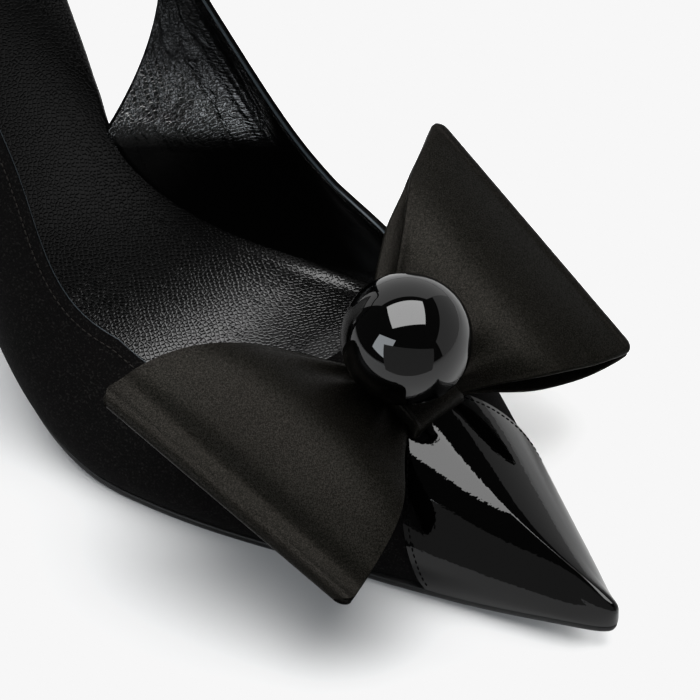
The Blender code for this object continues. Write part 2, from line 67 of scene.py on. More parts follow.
TREAD = (
    # station, slope of the sole's underside
    (0, -0.21),
    (50, 0.0),
    (93, 0.0),
    (141, 1.05),
    (168, 1.05),
    (200, 0.28),
    (LENGTH, 0.20),
)
OUTLINE = (
    # station, outer side, inner side
    (0, 0.0, 0.0),
    (3, -2.3, 2.4),
    (10, -5.2, 6.4),
    (25, -11.6, 14.0),
    (40, -17.6, 21.0),
    (60, -26.2, 29.6),
    (78, -33.6, 35.0),
    (92, -37.8, 35.0),
    (106, -40.2, 29.0),
    (120, -39.4, 19.0),
    (132, -36.6, 11.8),
    (143, -33.3, 9.4),
    (155, -30.4, 13.0),
    (170, -27.8, 18.8),
    (190, -26.0, 23.2),
    (206, -24.0, 22.8),
    (217, -17.0, 16.4),
    (LENGTH, 0.0, 0.0),
)
SECTIONS = (
    # station, ridge side, ridge height, outer lean, rise, shoulder, fall, inner lean, rise, shoulder, fall
    (0, 0.0, 11.4, 0.0, 2.4, 0.0, 0.0, 0.0, 2.4, 0.0, 0.0),
    (10, -0.4, 14.6, 0.1, 3.8, 3.4, 2.0, 0.6, 4.8, 1.4, 0.0),
    (25, -1.1, 18.6, 0.2, 6.5, 8.4, 3.9, 1.6, 8.2, 4.8, 0.0),
    (40, -0.4, 22.8, 0.8, 8.2, 10.0, 1.4, 2.4, 10.4, 11.4, 0.0),
    (61, 1.9, 29.3, 2.8, 10.5, 12.0, 0.0, 3.6, 13.0, 15.0, 0.0),
    (80, 2.0, 36.5, 5.0, 12.0, 15.0, 0.0, 7.0, 15.0, 21.0, 0.0),
    (104, 1.0, 52.0, 6.5, 14.0, 14.5, 0.0, 12.5, 18.0, 29.5, 0.0),
    (124, 0.0, 74.0, 7.0, 20.0, 26.5, 0.0, 20.5, 24.0, 34.5, 0.0),
    (145, -1.0, 100.0, 4.0, 28.0, 34.0, 0.0, 24.0, 26.0, 35.5, 0.0),
    (175, -1.0, 132.0, 1.0, 30.0, 25.0, 0.0, 12.0, 30.0, 26.0, 0.0),
    (205, -0.5, 150.0, 1.0, 30.0, 20.0, 0.0, 3.0, 30.0, 20.0, 0.0),
    (LENGTH, 0.0, 155.0, 0.0, 30.0, 0.0, 0.0, 0.0, 30.0, 0.0, 0.0),
)
TOPLINE = (
    # station, outer height over the base line, inner height
    (TOPLINE_START, 28.0, 23.2),
    (112, 30.0, 29.0),
    (120, 35.5, 37.0),
    (128, 44.0, 44.5),
    (WING_FRONT, 51.0, 52.5),
)
# How far the sole's and the sock's edges lie outside the base line, by station
SOLE_MARGIN = ((0, 1.0), (40, 1.0), (60, 0.6), (100, 0.3), (130, -1.0), (143, -1.0), (148, 0.0), (154, 0.0),
               (161, -0.4), (170, -0.8), (LENGTH, -0.3))
INSOLE_MARGIN = ((0, -2.2), (60, -1.2), (104, -0.4), (139, -0.3), (143, -0.3), (148, 0.9), (154, 0.9),
                 (161, 0.5), (170, 0.0), (190, -0.5), (LENGTH, -0.5))
# The padding under the sock lifts its middle
SOCK_CROWN = ((0, 0.0), (60, 0.5), (90, 2.0), (125, 2.0), (165, 0.4), (LENGTH, 0.0))
SOCK_CROWN_LEAN = 0.8
# The sock is pushed up into a small fold along the inner wall, at a distance from its edge
SOCK_FOLD_STATION, SOCK_FOLD_LENGTH = 100.0, 7.5
SOCK_FOLD_INSET, SOCK_FOLD_WIDTH, SOCK_FOLD_HEIGHT = 1.9, 1.5, 0.9
# Rounded edges, and how far in from its corner a round's middle lies, as a share of its size
SOLE_TOP_ROUND, SOCK_TOP_ROUND, ROUND_MIDDLE = 0.35, 0.7, 0.3
EDGE_ROUND = 0.9
STRAP = (
    # station, height over the floor
    (STRAP_LAP_STATION, 70.5),
    (142, 75.5),
    (160, 91.5),
    (185, 110.0),
    (208, 122.0),
    (LENGTH, 127.0),
)
HEEL = (
    # share of the drop, centre station, length behind it, length in front of it, half width
    (0.00, 203.0, 20.5, 22.0, 22.0),
    (0.08, 205.4, 18.0, 17.8, 19.0),
    (0.20, 208.8, 14.0, 12.2, 14.4),
    (0.36, 211.4, 10.4, 8.8, 10.4),
    (0.58, 213.2, 7.4, 6.6, 7.4),
    (0.80, 214.2, 5.7, 5.3, 5.7),
    (1.00, 214.6, 5.0, 4.8, 4.8),
)
LOOP = (
    # distance from the middle, outer loop's toe and heel edge, inner loop's toe and heel edge, lower, upper
    (6.0, 11.2, 8.5, 10.6, 8.5, 1.6, 2.7),
    (13, 15.8, 16.0, 14.4, 14.4, 1.5, 5.4),
    (20, 21.2, 21.9, 19.4, 19.4, 1.3, 8.4),
    (28, 25.2, 27.6, 23.4, 25.0, 1.3, 8.9),
    (36, 27.6, 31.0, 26.0, 30.2, 1.4, 6.9),
    (43, 29.2, 32.3, 27.0, 33.2, 1.5, 4.0),
)
# How far the folds reach from the bow's middle, how much less at the toe than at the heel, and how much
# narrower the ribbon is at the fold's end
FOLD_REACH = {OUTER: 46.0, INNER: 45.2}
FOLD_SLANT, FOLD_CORNER = 0.1, 0.08
KNOT_SIDE, KNOT_HALF_WIDTH, KNOT_TOE, KNOT_HEEL, KNOT_CROWN = 1.5, 7.2, 13.3, 7.5, 4.6

# Layers of the upper, measured inwards from its outside: their thickness, how far each stops short of the
# free edge, and how far each foot turns in towards the sock
SUEDE, BINDING = 0.85, 0.45
LINING_DROP, BINDING_DROP, BINDING_REAR_DROP = 0.5, -0.05, 1.6
SUEDE_TURN_IN, BINDING_TURN_IN, LINING_TURN_IN = 0.4, 1.0, 2.6
# Rows of stitches: distance from the edge, pitch, length of a stitch, and how far its middle lies over the
# leather
TOPLINE_INSET, TOPLINE_PITCH, TOPLINE_STITCH, TOPLINE_LIFT, STRAP_LIFT = 2.0, 1.45, 1.15, 0.06, 0.05
CAP_INSET, CAP_PITCH, CAP_STITCH, CAP_LIFT = 1.1, 1.3, 0.95, 0.02
THREAD = 0.32

# The photograph's camera: its place round the shoe, and where the toe's tip lies in the picture
PICTURE_PX = 700
CAMERA_AZIMUTH, CAMERA_ELEVATION = math.radians(43), math.radians(50)
CAMERA_DISTANCE = 900.0
FOCAL_PX = 4680
TIP_HEIGHT, TIP_PX = 7.0, (611.5, 622.5)
SENSOR = 36.0


def spline(places, values):
    """Natural cubic spline through the rows of a table."""
    places, values = np.asarray(places, float), np.asarray(values, float)
    count, step = len(places), np.diff(places)
    slope = np.diff(values) / step
    matrix, right = np.eye(count), np.zeros(count)
    for i in range(1, count - 1):
        matrix[i, i - 1:i + 2] = step[i - 1], 2 * (step[i - 1] + step[i]), step[i]
        right[i] = 6 * (slope[i] - slope[i - 1])
    bend = np.linalg.solve(matrix, right)

    def value(place):
        place = np.asarray(place, float)
        i = np.clip(np.searchsorted(places, place) - 1, 0, count - 2)
        ahead, behind = (places[i + 1] - place) / step[i], (place - places[i]) / step[i]
        curl = (ahead**3 - ahead) * bend[i] + (behind**3 - behind) * bend[i + 1]
        return ahead * values[i] + behind * values[i + 1] + curl * step[i]**2 / 6

    return value


def hump(place, middle, width):
    """Bell curve of height 1 round a middle."""
    return np.exp(-((place - middle) / width)**2)


def turn(station):
    """Angle from 0 at the toe's tip to pi at the heel's back, so that both ends come out round."""
    return np.arccos(np.clip(1 - 2 * np.asarray(station, float) / LENGTH, -1, 1))


def station_at(angle):
    """Station of an angle."""
    return LENGTH * (1 - np.cos(angle)) / 2


TREAD_STATION, TREAD_SLOPE = np.array(TREAD).T
TREAD_CLIMB = np.diff(TREAD_STATION) * (TREAD_SLOPE[1:] + TREAD_SLOPE[:-1]) / 2
TREAD_RISE = np.concatenate([[0], np.cumsum(TREAD_CLIMB)])
TREAD_RISE -= TREAD_RISE.min()
SIDE_COLUMN = {OUTER: 1, INNER: 2}
OUTLINE_ROWS, SECTION_ROWS, TOPLINE_ROWS = np.array(OUTLINE).T, np.array(SECTIONS).T, np.array(TOPLINE).T
BASE_SIDE = {side: spline(turn(OUTLINE_ROWS[0]), OUTLINE_ROWS[row]) for side, row in SIDE_COLUMN.items()}
SECTION = [spline(turn(SECTION_ROWS[0]), row) for row in SECTION_ROWS[1:]]
TOP_HEIGHT = {side: spline(TOPLINE_ROWS[0], TOPLINE_ROWS[row]) for side, row in SIDE_COLUMN.items()}
STRAP_HEIGHT = spline(*np.array(STRAP).T)
HEEL_DROPS, *HEEL_SIZES = np.array(HEEL).T
HEEL_SHAPE = [spline(HEEL_DROPS, sizes) for sizes in HEEL_SIZES]
LOOP_PLACES, *LOOP_SIZES = np.array(LOOP).T
*EDGES, LOOP_LOWER, LOOP_UPPER = [spline(LOOP_PLACES, sizes) for sizes in LOOP_SIZES]
LOOP_EDGES = {OUTER: EDGES[:2], INNER: EDGES[2:]}
LOOP_FLAT = LOOP_PLACES[-1]


# The last


def tread_slope(station):
    """Slope of the sole's underside."""
    return np.interp(station, TREAD_STATION, TREAD_SLOPE)


def tread(station):
    """Height of the sole's underside over the floor."""
    station = np.clip(np.asarray(station, float), 0, LENGTH)
    i = np.clip(np.searchsorted(TREAD_STATION, station) - 1, 0, len(TREAD_STATION) - 2)
    run = station - TREAD_STATION[i]
    return TREAD_RISE[i] + run * (TREAD_SLOPE[i] + tread_slope(station)) / 2


def layer_height(station, thickness):
    """Height over the floor of a layer whose thickness is measured square to the sole's underside."""
    return tread(station) + thickness * np.sqrt(1 + tread_slope(station)**2)


def base_height(station):
    """Height over the floor of the base line, on which the upper stands."""
    return layer_height(station, SOLE_THICKNESS + GAP)


def last_point(side, angle, climb):
    """Point of the last's surface: climb runs from 0 at the base line to 1 at the ridge."""
    station = station_at(angle)
    ridge_side, ridge_height, *walls = [column(angle) for column in SECTION]
    lean, rise, shoulder, fall = walls[:4] if side == OUTER else walls[4:]
    foot_side, foot_height = BASE_SIDE[side](angle), base_height(station)
    across = (foot_side, foot_side + side * lean, ridge_side + side * shoulder, ridge_side)
    upward = (foot_height, foot_height + rise, ridge_height - fall, ridge_height)
    weights = ((1 - climb)**3, 3 * climb * (1 - climb)**2, 3 * climb**2 * (1 - climb), climb**3)
    y = sum(w * p for w, p in zip(weights, across))
    z = sum(w * p for w, p in zip(weights, upward))
    return np.stack(np.broadcast_arrays(-station, y, z), -1)


def last_offset(side, angle, climb, distance):
    """Point a distance outside the last's surface, inside it where negative, never below the base line."""
    angle, climb = np.broadcast_arrays(np.asarray(angle, float), np.asarray(climb, float))
    along = (last_point(side, np.minimum(angle + STEP, math.pi), climb)
             - last_point(side, np.maximum(angle - STEP, 0), climb))
    upward = (last_point(side, angle, np.minimum(climb + STEP, 1))
              - last_point(side, angle, np.maximum(climb - STEP, 0)))
    upward[climb >= 1] = (0.0, -side, 0.0)
    normal = np.cross(along, upward) * side
    normal[(angle <= 0) | (angle >= math.pi), 1] = 0.0
    normal /= np.linalg.norm(normal, axis=-1, keepdims=True)
    point = last_point(side, angle, climb) + normal * np.asarray(distance)[..., None]
    point[..., 2] = np.maximum(point[..., 2], base_height(-point[..., 0]))
    return point


def climb_at_height(side, angle, height):
    """How far up the section a height over the floor lies."""
    low, high = np.zeros(np.shape(angle)), np.ones(np.shape(angle))
    for _ in range(40):
        middle = (low + high) / 2
        below = last_point(side, angle, middle)[..., 2] < height
        low, high = np.where(below, middle, low), np.where(below, high, middle)
    return low


def topline_height(side, station):
    """Height over the floor of the upper's free edge."""
    return base_height(station) + TOP_HEIGHT[side](station)


def bow_frame():
    """The bow's middle on the vamp's ridge, with the ways to the toe, to the inner side and up from it."""
    step = 0.02
    root, ahead = [last_point(OUTER, turn(BOW_STATION) - d, 1.0) for d in (0.0, step)]
    toe = ahead - root
    toe[1] = 0.0
    toe /= np.linalg.norm(toe)
    return root, toe, np.array([0.0, 1.0, 0.0]), np.cross(toe, (0.0, 1.0, 0.0))


BOW_ROOT, BOW_TOE, BOW_OUT, BOW_UP = bow_frame()


def bow_point(toe, out, high):
    """Point at distances from the bow's middle, towards the toe, the inner side and up."""
    toe, out, high = np.broadcast_arrays(toe, out, high)
    return BOW_ROOT + toe[..., None] * BOW_TOE + out[..., None] * BOW_OUT + high[..., None] * BOW_UP


# The frame's bead shows where the toe's tip lies in the frame
BEAD_MIDDLE = np.array((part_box("bead")[0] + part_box("bead")[1]) / 2) / MM
SHIFT = BEAD_MIDDLE - bow_point(0.0, 0.0, BEAD_LIFT)


def in_frame(points):
    """Points of the shoe in millimetres as metres of the frame."""
    return (np.asarray(points, float) + SHIFT) * MM


# Meshes


# Points closer than this are one
WELD = 0.004


class Skin:
    """Grids of points in millimetres, each with its own pattern map, welded into one piece."""

    def __init__(self):
        self.points, self.maps, self.faces, self.count = [], [], [], 0

    def grid(self, points, pattern=None):
        """Add a grid of points; without a pattern of its own it is mapped by row and column."""
        points = np.asarray(points, float)
        rows, columns = points.shape[:2]
        if pattern is None:
            pattern = np.stack(np.meshgrid(range(rows), range(columns), indexing="ij"), -1)
        places = self.count + np.arange(rows * columns).reshape(rows, columns)
        corners = (places[:-1, :-1], places[1:, :-1], places[1:, 1:], places[:-1, 1:])
        self.faces.append(np.stack(corners, -1).reshape(-1, 4))
        self.points.append(points.reshape(-1, 3))
        self.maps.append(np.asarray(pattern, float).reshape(-1, 2))
        self.count += rows * columns

    def piece(self, name, material, slot, sharp=50):
        """Weld the grids into a mesh and put it in the scene."""
        points, maps = np.concatenate(self.points), np.concatenate(self.maps)
        mesh = bpy.data.meshes.new(name)
        mesh.from_pydata(in_frame(points), [], np.concatenate(self.faces).tolist())
        uv = mesh.uv_layers.new(name="pattern")
        corner = np.zeros(len(mesh.loops), int)
        mesh.loops.foreach_get("vertex_index", corner)
        uv.data.foreach_set("uv", maps[corner].ravel())
        work = bmesh.new()
        work.from_mesh(mesh)
        bmesh.ops.remove_doubles(work, verts=work.verts, dist=WELD * MM)
        bmesh.ops.dissolve_degenerate(work, edges=work.edges, dist=WELD * MM)
        bmesh.ops.recalc_face_normals(work, faces=work.faces)
        work.to_mesh(mesh)
        work.free()
        return add_piece(name, mesh, material, sharp)


def add_piece(name, mesh, material, sharp=50):
    """Put a mesh in the scene as a piece that rides on the shoe."""
    mesh.materials.clear()
    mesh.materials.append(material)
    mesh.shade_smooth()
    mesh.set_sharp_from_angle(angle=math.radians(sharp))
    piece = bpy.data.objects.new(name, mesh)
    bpy.context.scene.collection.objects.link(piece)
    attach(piece, "root")
    return piece


def rim(outside, inside, steps=9):
    """Round rim between the edges of two skins, bulging away from them; the edges are rows of points."""
    outside, inside = np.asarray(outside), np.asarray(inside)
    along = np.gradient(outside, axis=0)
    middle, half = (outside + inside) / 2, (outside - inside) / 2
    away = np.cross(half, along)
    away /= np.linalg.norm(away, axis=-1, keepdims=True)
    reach = np.linalg.norm(half, axis=-1, keepdims=True)
    angles = np.linspace(0, math.pi, steps)
    return np.stack([middle + half * math.cos(a) + away * reach * math.sin(a) for a in angles], 1)


def run_length(points, axis):
    """Distance along a grid of points from its first row or column."""
    steps = np.linalg.norm(np.diff(points, axis=axis), axis=-1)
    return np.concatenate([np.zeros_like(np.take(steps, [0], axis)), np.cumsum(steps, axis)], axis)


def band_skin(outside, inside, steps=7):
    """Band between two skins, with round edges and plain ends."""
    skin = Skin()
    skin.grid(outside)
    skin.grid(inside)
    skin.grid(rim(outside[:, -1], inside[:, -1], steps))
    skin.grid(rim(inside[:, 0], outside[:, 0], steps))
    for end in (0, -1):
        skin.grid(np.stack([outside[end], inside[end]], 0))
    return skin


# Shader helpers


def hue(text):
    """Linear colour of an sRGB hex value."""
    parts = [int(text[i:i + 2], 16) / 255 for i in (1, 3, 5)]
    return (*[c / 12.92 if c <= 0.04045 else ((c + 0.055) / 1.055)**2.4 for c in parts], 1.0)


def feed(tree, node, inputs):
    """Set a node's inputs: each is a value, a socket, or another node, which gives its first output."""
    for name, value in inputs.items():
        if isinstance(value, bpy.types.Node):
            value = next(socket for socket in value.outputs if socket.enabled)
        if isinstance(value, bpy.types.NodeSocket):
            tree.links.new(value, node.inputs[name])
        else:
            node.inputs[name].default_value = value


def add(tree, kind, inputs=(), **settings):
    """Add a node with its own settings and its inputs."""
    node = tree.nodes.new(kind)
    for name, value in settings.items():
        setattr(node, name, value)
    feed(tree, node, dict(inputs))
    return node


def new_material(name):
    """A material with its node tree, its shader and its Object and pattern coordinates."""
    material = bpy.data.materials.new(name)
    material.use_nodes = True
    tree = material.node_tree
    places = add(tree, "ShaderNodeTexCoord").outputs
    return material, tree, tree.nodes["Principled BSDF"], places["Object"], places["UV"]


# Materials. The export keeps no linked specular level, so where it is linked a plain one is set first


def suede_leather():
    """Black calf suede: buffed nap that swallows light, with paler fibre ends and faint brush marks."""
    material, tree, shader, place, _ = new_material("black suede")
    # Real nap is finer than 0.1 mm; its fibres are drawn wider here so that they show in the picture
    nap_mm, fibre_mm, brush_mm, nap_depth_mm = 0.35, 0.42, 11.0, 0.12
    nap = add(tree, "ShaderNodeTexNoise", {"Vector": place, "Scale": 1 / (nap_mm * MM), "Detail": 3.0})
    brush = add(tree, "ShaderNodeTexNoise", {"Vector": place, "Scale": 1 / (brush_mm * MM), "Detail": 2.0})
    fibre = add(tree, "ShaderNodeTexNoise", {"Vector": place, "Scale": 1 / (fibre_mm * MM), "Detail": 1.0})
    ends = add(tree, "ShaderNodeMapRange", {"Value": fibre, "From Min": 0.56, "From Max": 0.78})
    ground = add(tree, "ShaderNodeMix", {"Factor": brush, "A": hue("#030303"), "B": hue("#060505")},
                 data_type="RGBA")
    colour = add(tree, "ShaderNodeMix", {"Factor": ends, "A": ground, "B": hue("#181716")}, data_type="RGBA")
    bump = add(tree, "ShaderNodeBump", {"Height": nap, "Strength": 0.7, "Distance": nap_depth_mm * MM})
    feed(tree, shader, {"Base Color": colour, "Normal": bump, "Roughness": 0.95, "Specular IOR Level": 0.04,
                        "Sheen Weight": 0.01, "Sheen Roughness": 0.5})
    return material


def lining_leather():
    """Black glazed goat lining: glossy flats between creases that run with the topline, and fine pores."""
    material, tree, shader, _, pattern = new_material("black glazed lining leather")
    crease_mm, pore_mm, fold_mm = (3.5, 0.9, 1.0), (0.95, 0.8, 1.0), (26.0, 3.2, 1.0)
    crease_depth, pore_depth, fold_depth = 0.5, 0.045, 0.19
    topline_turn = (0.0, 0.0, math.radians(40))
    # Above the swell's crest the lining leans back by this slope and catches the light
    lean_back = 0.23
    above = add(tree, "ShaderNodeSeparateXYZ", {"Vector": pattern}).outputs["Y"]
    rise = add(tree, "ShaderNodeMath", {0: above, 1: 0.0, 2: 2.0}, operation="SMOOTH_MAX")
    swell = add(tree, "ShaderNodeMath", {0: rise, 1: -lean_back}, operation="MULTIPLY")
    along, cells, runs = [
        add(tree, "ShaderNodeMapping", {"Vector": pattern, "Rotation": topline_turn, "Scale": size},
            vector_type="TEXTURE") for size in (crease_mm, pore_mm, fold_mm)]
    creases = add(tree, "ShaderNodeTexNoise", {"Vector": along, "Scale": 1.0, "Detail": 3.0,
                                               "Distortion": 0.5})
    folds = add(tree, "ShaderNodeTexNoise", {"Vector": runs, "Scale": 1.0, "Detail": 2.0, "Distortion": 0.3})
    # A crease or a fold lies where its noise passes its middle value
    off_crease, off_fold = [add(tree, "ShaderNodeMath", {0: noise, 1: 0.5}, operation="SUBTRACT")
                            for noise in (creases, folds)]
    from_crease, from_fold = [add(tree, "ShaderNodeMath", {0: off}, operation="ABSOLUTE")
                              for off in (off_crease, off_fold)]
    pores = add(tree, "ShaderNodeTexVoronoi", {"Vector": cells, "Scale": 1.0}, feature="DISTANCE_TO_EDGE",
                voronoi_dimensions="2D")
    flats = add(tree, "ShaderNodeMapRange", {"Value": pores, "From Max": 0.16, "To Max": pore_depth})
    bent = add(tree, "ShaderNodeMapRange", {"Value": from_fold, "From Max": 0.07, "To Max": fold_depth})
    grain = add(tree, "ShaderNodeMath", {0: flats, 1: bent}, operation="ADD")
    creased = add(tree, "ShaderNodeMath", {0: from_crease, 1: crease_depth, 2: grain},
                  operation="MULTIPLY_ADD")
    # The grain is flat below the crest. The gloss is turned down below the crest and again well above it,
    # which paints shade on the lining there
    depth, painted_shade_below_crest, painted_shade_high_up = [
        add(tree, "ShaderNodeMapRange", {"Value": above, "From Min": low, "From Max": high, "To Min": at_low,
                                         "To Max": at_high})
        for low, high, at_low, at_high in ((-4.0, 2.0, 0.06, 1.0), (-3.0, 2.0, 0.12, 1.0),
                                           (3.0, 15.0, 1.0, 0.2))]
    height = add(tree, "ShaderNodeMath", {0: creased, 1: depth, 2: swell}, operation="MULTIPLY_ADD")
    bump = add(tree, "ShaderNodeBump", {"Height": height, "Strength": 1.0, "Distance": MM})
    gloss = add(tree, "ShaderNodeMath", {0: painted_shade_below_crest, 1: painted_shade_high_up}, operation="MULTIPLY")
    feed(tree, shader, {"Base Color": hue("#020202"), "Roughness": 0.22, "Specular IOR Level": 0.4})
    feed(tree, shader, {"Specular IOR Level": gloss, "Normal": bump})
    return material


def insole_leather():
    """Black boarded leather: rows of fine pebbles across the foot, with a soft sheen on their tops and
    painted shade in the creases between them.
    """
    material, tree, shader, _, pattern = new_material("black grained sock leather")
    pebble_mm, row_turn = (0.98, 0.8, 1.0), (0.0, 0.0, math.radians(118))
    sway_mm, pebble_depth_mm = 6.0, 0.025
    crease_share, crease_step = 0.3, (0.0, 0.24, 0.0)
    wander = add(tree, "ShaderNodeTexNoise", {"Vector": pattern, "Scale": 1 / sway_mm, "Detail": 1.0})
    sway = add(tree, "ShaderNodeVectorMath", {0: pattern, 1: wander.outputs["Color"]}, operation="ADD")
    rows = add(tree, "ShaderNodeMapping", {"Vector": sway, "Rotation": row_turn, "Scale": pebble_mm},
               vector_type="TEXTURE")
    # Boarding folds the hide along the rows, so the creases between rows are deep and those in a row faint
    next_row = add(tree, "ShaderNodeVectorMath", {0: rows, 1: crease_step}, operation="ADD")
    edges, next_edges = [
        add(tree, "ShaderNodeTexVoronoi", {"Vector": spot, "Scale": 1.0, "Randomness": 0.7},
            feature="DISTANCE_TO_EDGE", voronoi_dimensions="2D") for spot in (rows, next_row)]
    tops, next_tops = [add(tree, "ShaderNodeMapRange", {"Value": edge, "From Max": crease_share},
                           interpolation_type="SMOOTHSTEP") for edge in (edges, next_edges)]
    crease = add(tree, "ShaderNodeMath", {0: next_tops, 1: tops}, operation="SUBTRACT")
    # The gloss is turned down in the creases, which paints the shade that falls in them
    gloss_with_painted_crease_shade = add(tree, "ShaderNodeMapRange", {"Value": crease, "From Min": 0.1, "From Max": 0.55,
                                             "To Min": 0.36, "To Max": 0.02})
    relief = add(tree, "ShaderNodeMath", {0: next_tops, 1: -0.45, 2: tops}, operation="MULTIPLY_ADD")
    bump = add(tree, "ShaderNodeBump", {"Height": relief, "Strength": 1.0, "Distance": pebble_depth_mm * MM})
    feed(tree, shader, {"Base Color": hue("#020202"), "Roughness": 0.2, "Specular IOR Level": 0.3})
    feed(tree, shader, {"Specular IOR Level": gloss_with_painted_crease_shade, "Normal": bump})
    return material


def patent_leather():
    """Black patent leather: a thick lacquer, mirror bright, with the faint ripple of the hide under it."""
    material, tree, shader, place, _ = new_material("black patent leather")
    ripple_mm, ripple_depth_mm = 0.8, 0.05
    ripple = add(tree, "ShaderNodeTexNoise", {"Vector": place, "Scale": 1 / (ripple_mm * MM), "Detail": 1.0})
    bump = add(tree, "ShaderNodeBump", {"Height": ripple, "Strength": 0.22, "Distance": ripple_depth_mm * MM})
    feed(tree, shader, {"Base Color": hue("#010101"), "Roughness": 0.02, "IOR": 1.36, "Normal": bump})
    return material


def satin_ribbon():
    """Black duchesse satin: floats of fine thread, which give a soft, grainy, brownish sheen."""
    material, tree, shader, place, _ = new_material("black satin ribbon")
    # A real float is about 0.1 mm wide; it is drawn wider here so that it shows in the picture
    float_mm, float_low, float_high = 0.22, 0.4, 0.8
    thread = add(tree, "ShaderNodeTexNoise", {"Vector": place, "Scale": 1 / (float_mm * MM), "Detail": 1.0,
                                              "Roughness": 0.7})
    shine, float_top = [
        add(tree, "ShaderNodeMapRange", {"Value": thread, "From Min": float_low, "From Max": float_high,
                                         "To Min": dull, "To Max": bright})
        for dull, bright in ((0.028, 0.168), (0.0, 1.0))]
    colour = add(tree, "ShaderNodeMix", {"Factor": float_top, "A": hue("#030302"), "B": hue("#0f0e0c")},
                 data_type="RGBA")
    feed(tree, shader, {"Roughness": 0.44, "Specular Tint": hue("#fff6ea"), "Specular IOR Level": 0.06})
    feed(tree, shader, {"Specular IOR Level": shine, "Base Color": colour})
    return material


def polished_resin():
    """Black cast resin, turned and polished: it mirrors the studio sharply, with a trace of haze."""
    material, tree, shader, place, _ = new_material("black polished resin")
    haze_mm = 6.0
    haze = add(tree, "ShaderNodeTexNoise", {"Vector": place, "Scale": 1 / (haze_mm * MM), "Detail": 3.0})
    polish = add(tree, "ShaderNodeMapRange", {"Value": haze, "To Min": 0.012, "To Max": 0.03})
    feed(tree, shader, {"Base Color": hue("#010101"), "Roughness": polish, "IOR": 1.5})
    return material


def sole_leather():
    """Black sole leather, waxed and faintly scuffed: a dull gloss broken by the fibres."""
    material, tree, shader, place, _ = new_material("black waxed sole leather")
    fibre_mm, fibre_depth_mm = 0.8, 0.05
    fibre = add(tree, "ShaderNodeTexNoise", {"Vector": place, "Scale": 1 / (fibre_mm * MM), "Detail": 4.0})
    wax = add(tree, "ShaderNodeMapRange", {"Value": fibre, "To Min": 0.35, "To Max": 0.6})
    bump = add(tree, "ShaderNodeBump", {"Height": fibre, "Strength": 0.3, "Distance": fibre_depth_mm * MM})
    feed(tree, shader, {"Base Color": hue("#0a0a0a"), "Roughness": wax, "Specular IOR Level": 0.2,
                        "Normal": bump})
    return material


def edge_dye():
    """Cut leather edge, sealed with a dye: a thin, worn blue-grey line with little gloss."""
    material, tree, shader, place, _ = new_material("blue-grey edge dye")
    wear_mm = 0.7
    wear = add(tree, "ShaderNodeTexNoise", {"Vector": place, "Scale": 1 / (wear_mm * MM), "Detail": 2.0})
    colour = add(tree, "ShaderNodeMix", {"Factor": wear, "A": hue("#171c1f"), "B": hue("#323c42")},
                 data_type="RGBA")
    feed(tree, shader, {"Base Color": colour, "Roughness": 0.5})
    return material


def sewing_thread(name, dark, pale):
    """Bonded polyester thread, twisted: matt, with paler and darker turns."""
    material, tree, shader, place, _ = new_material(name)
    twist_mm = 0.25
    twist = add(tree, "ShaderNodeTexNoise", {"Vector": place, "Scale": 1 / (twist_mm * MM), "Detail": 1.0})
    colour = add(tree, "ShaderNodeMix", {"Factor": twist, "A": hue(dark), "B": hue(pale)}, data_type="RGBA")
    feed(tree, shader, {"Base Color": colour, "Roughness": 0.7, "Specular IOR Level": 0.02})
    return material


def top_piece_rubber():
    """Black hard rubber, moulded: matt and a little gritty."""
    material, tree, shader, place, _ = new_material("black hard rubber")
    grit_mm, grit_depth_mm = 0.4, 0.05
    grit = add(tree, "ShaderNodeTexNoise", {"Vector": place, "Scale": 1 / (grit_mm * MM), "Detail": 3.0})
    bump = add(tree, "ShaderNodeBump", {"Height": grit, "Strength": 0.3, "Distance": grit_depth_mm * MM})
    feed(tree, shader, {"Base Color": hue("#111111"), "Roughness": 0.7, "Normal": bump})
    return material


SUEDE_LEATHER = suede_leather()
LINING_LEATHER = lining_leather()
INSOLE_LEATHER = insole_leather()
PATENT_LEATHER = patent_leather()
SATIN = satin_ribbon()
RESIN = polished_resin()
SOLE_LEATHER = sole_leather()
EDGE_DYE = edge_dye()
TOPLINE_THREAD = sewing_thread("grey-black polyester thread", "#131211", "#262422")
CAP_THREAD = sewing_thread("black polyester thread", "#020202", "#060606")
RUBBER = top_piece_rubber()


# Upper


UPPER_ROWS, VAMP_COLUMNS, THROAT_COLUMNS, WING_COLUMNS = 41, 44, 30, 61
# A layer's foot turns in less within this distance of the toe's middle, and lies a little over the base line
TURN_IN_FADE, TURN_IN_LIFT = 4.0, 0.1


def upper_columns(side, drop=0.0, rear_drop=0.0):
    """Angles and climbs of the upper's columns, from the toe's tip to the wing's rear cut."""
    shares = np.linspace(0, 1, UPPER_ROWS)
    throat_station = THROAT_STATION - drop
    columns = [(np.full(shares.shape, angle), shares)
               for angle in np.linspace(0, turn(throat_station), VAMP_COLUMNS + 1)[:-1]]
    start_angle = turn(TOPLINE_START)
    start_climb = climb_at_height(side, start_angle, topline_height(side, TOPLINE_START) - drop)
    for along in np.linspace(0, 1, THROAT_COLUMNS + 1)[:-1]**2:
        station = throat_station + (TOPLINE_START - throat_station) * along
        throat = 1 - (1 - start_climb) * math.sqrt(1 - (1 - along)**THROAT_SQUARENESS)
        columns.append((np.full(shares.shape, turn(station)), shares * throat))
    for share in np.linspace(0, 1, WING_COLUMNS):
        columns.append(wing_column(side, share, shares, drop, rear_drop))
    angles, climbs = zip(*columns)
    return np.array(angles), np.array(climbs)


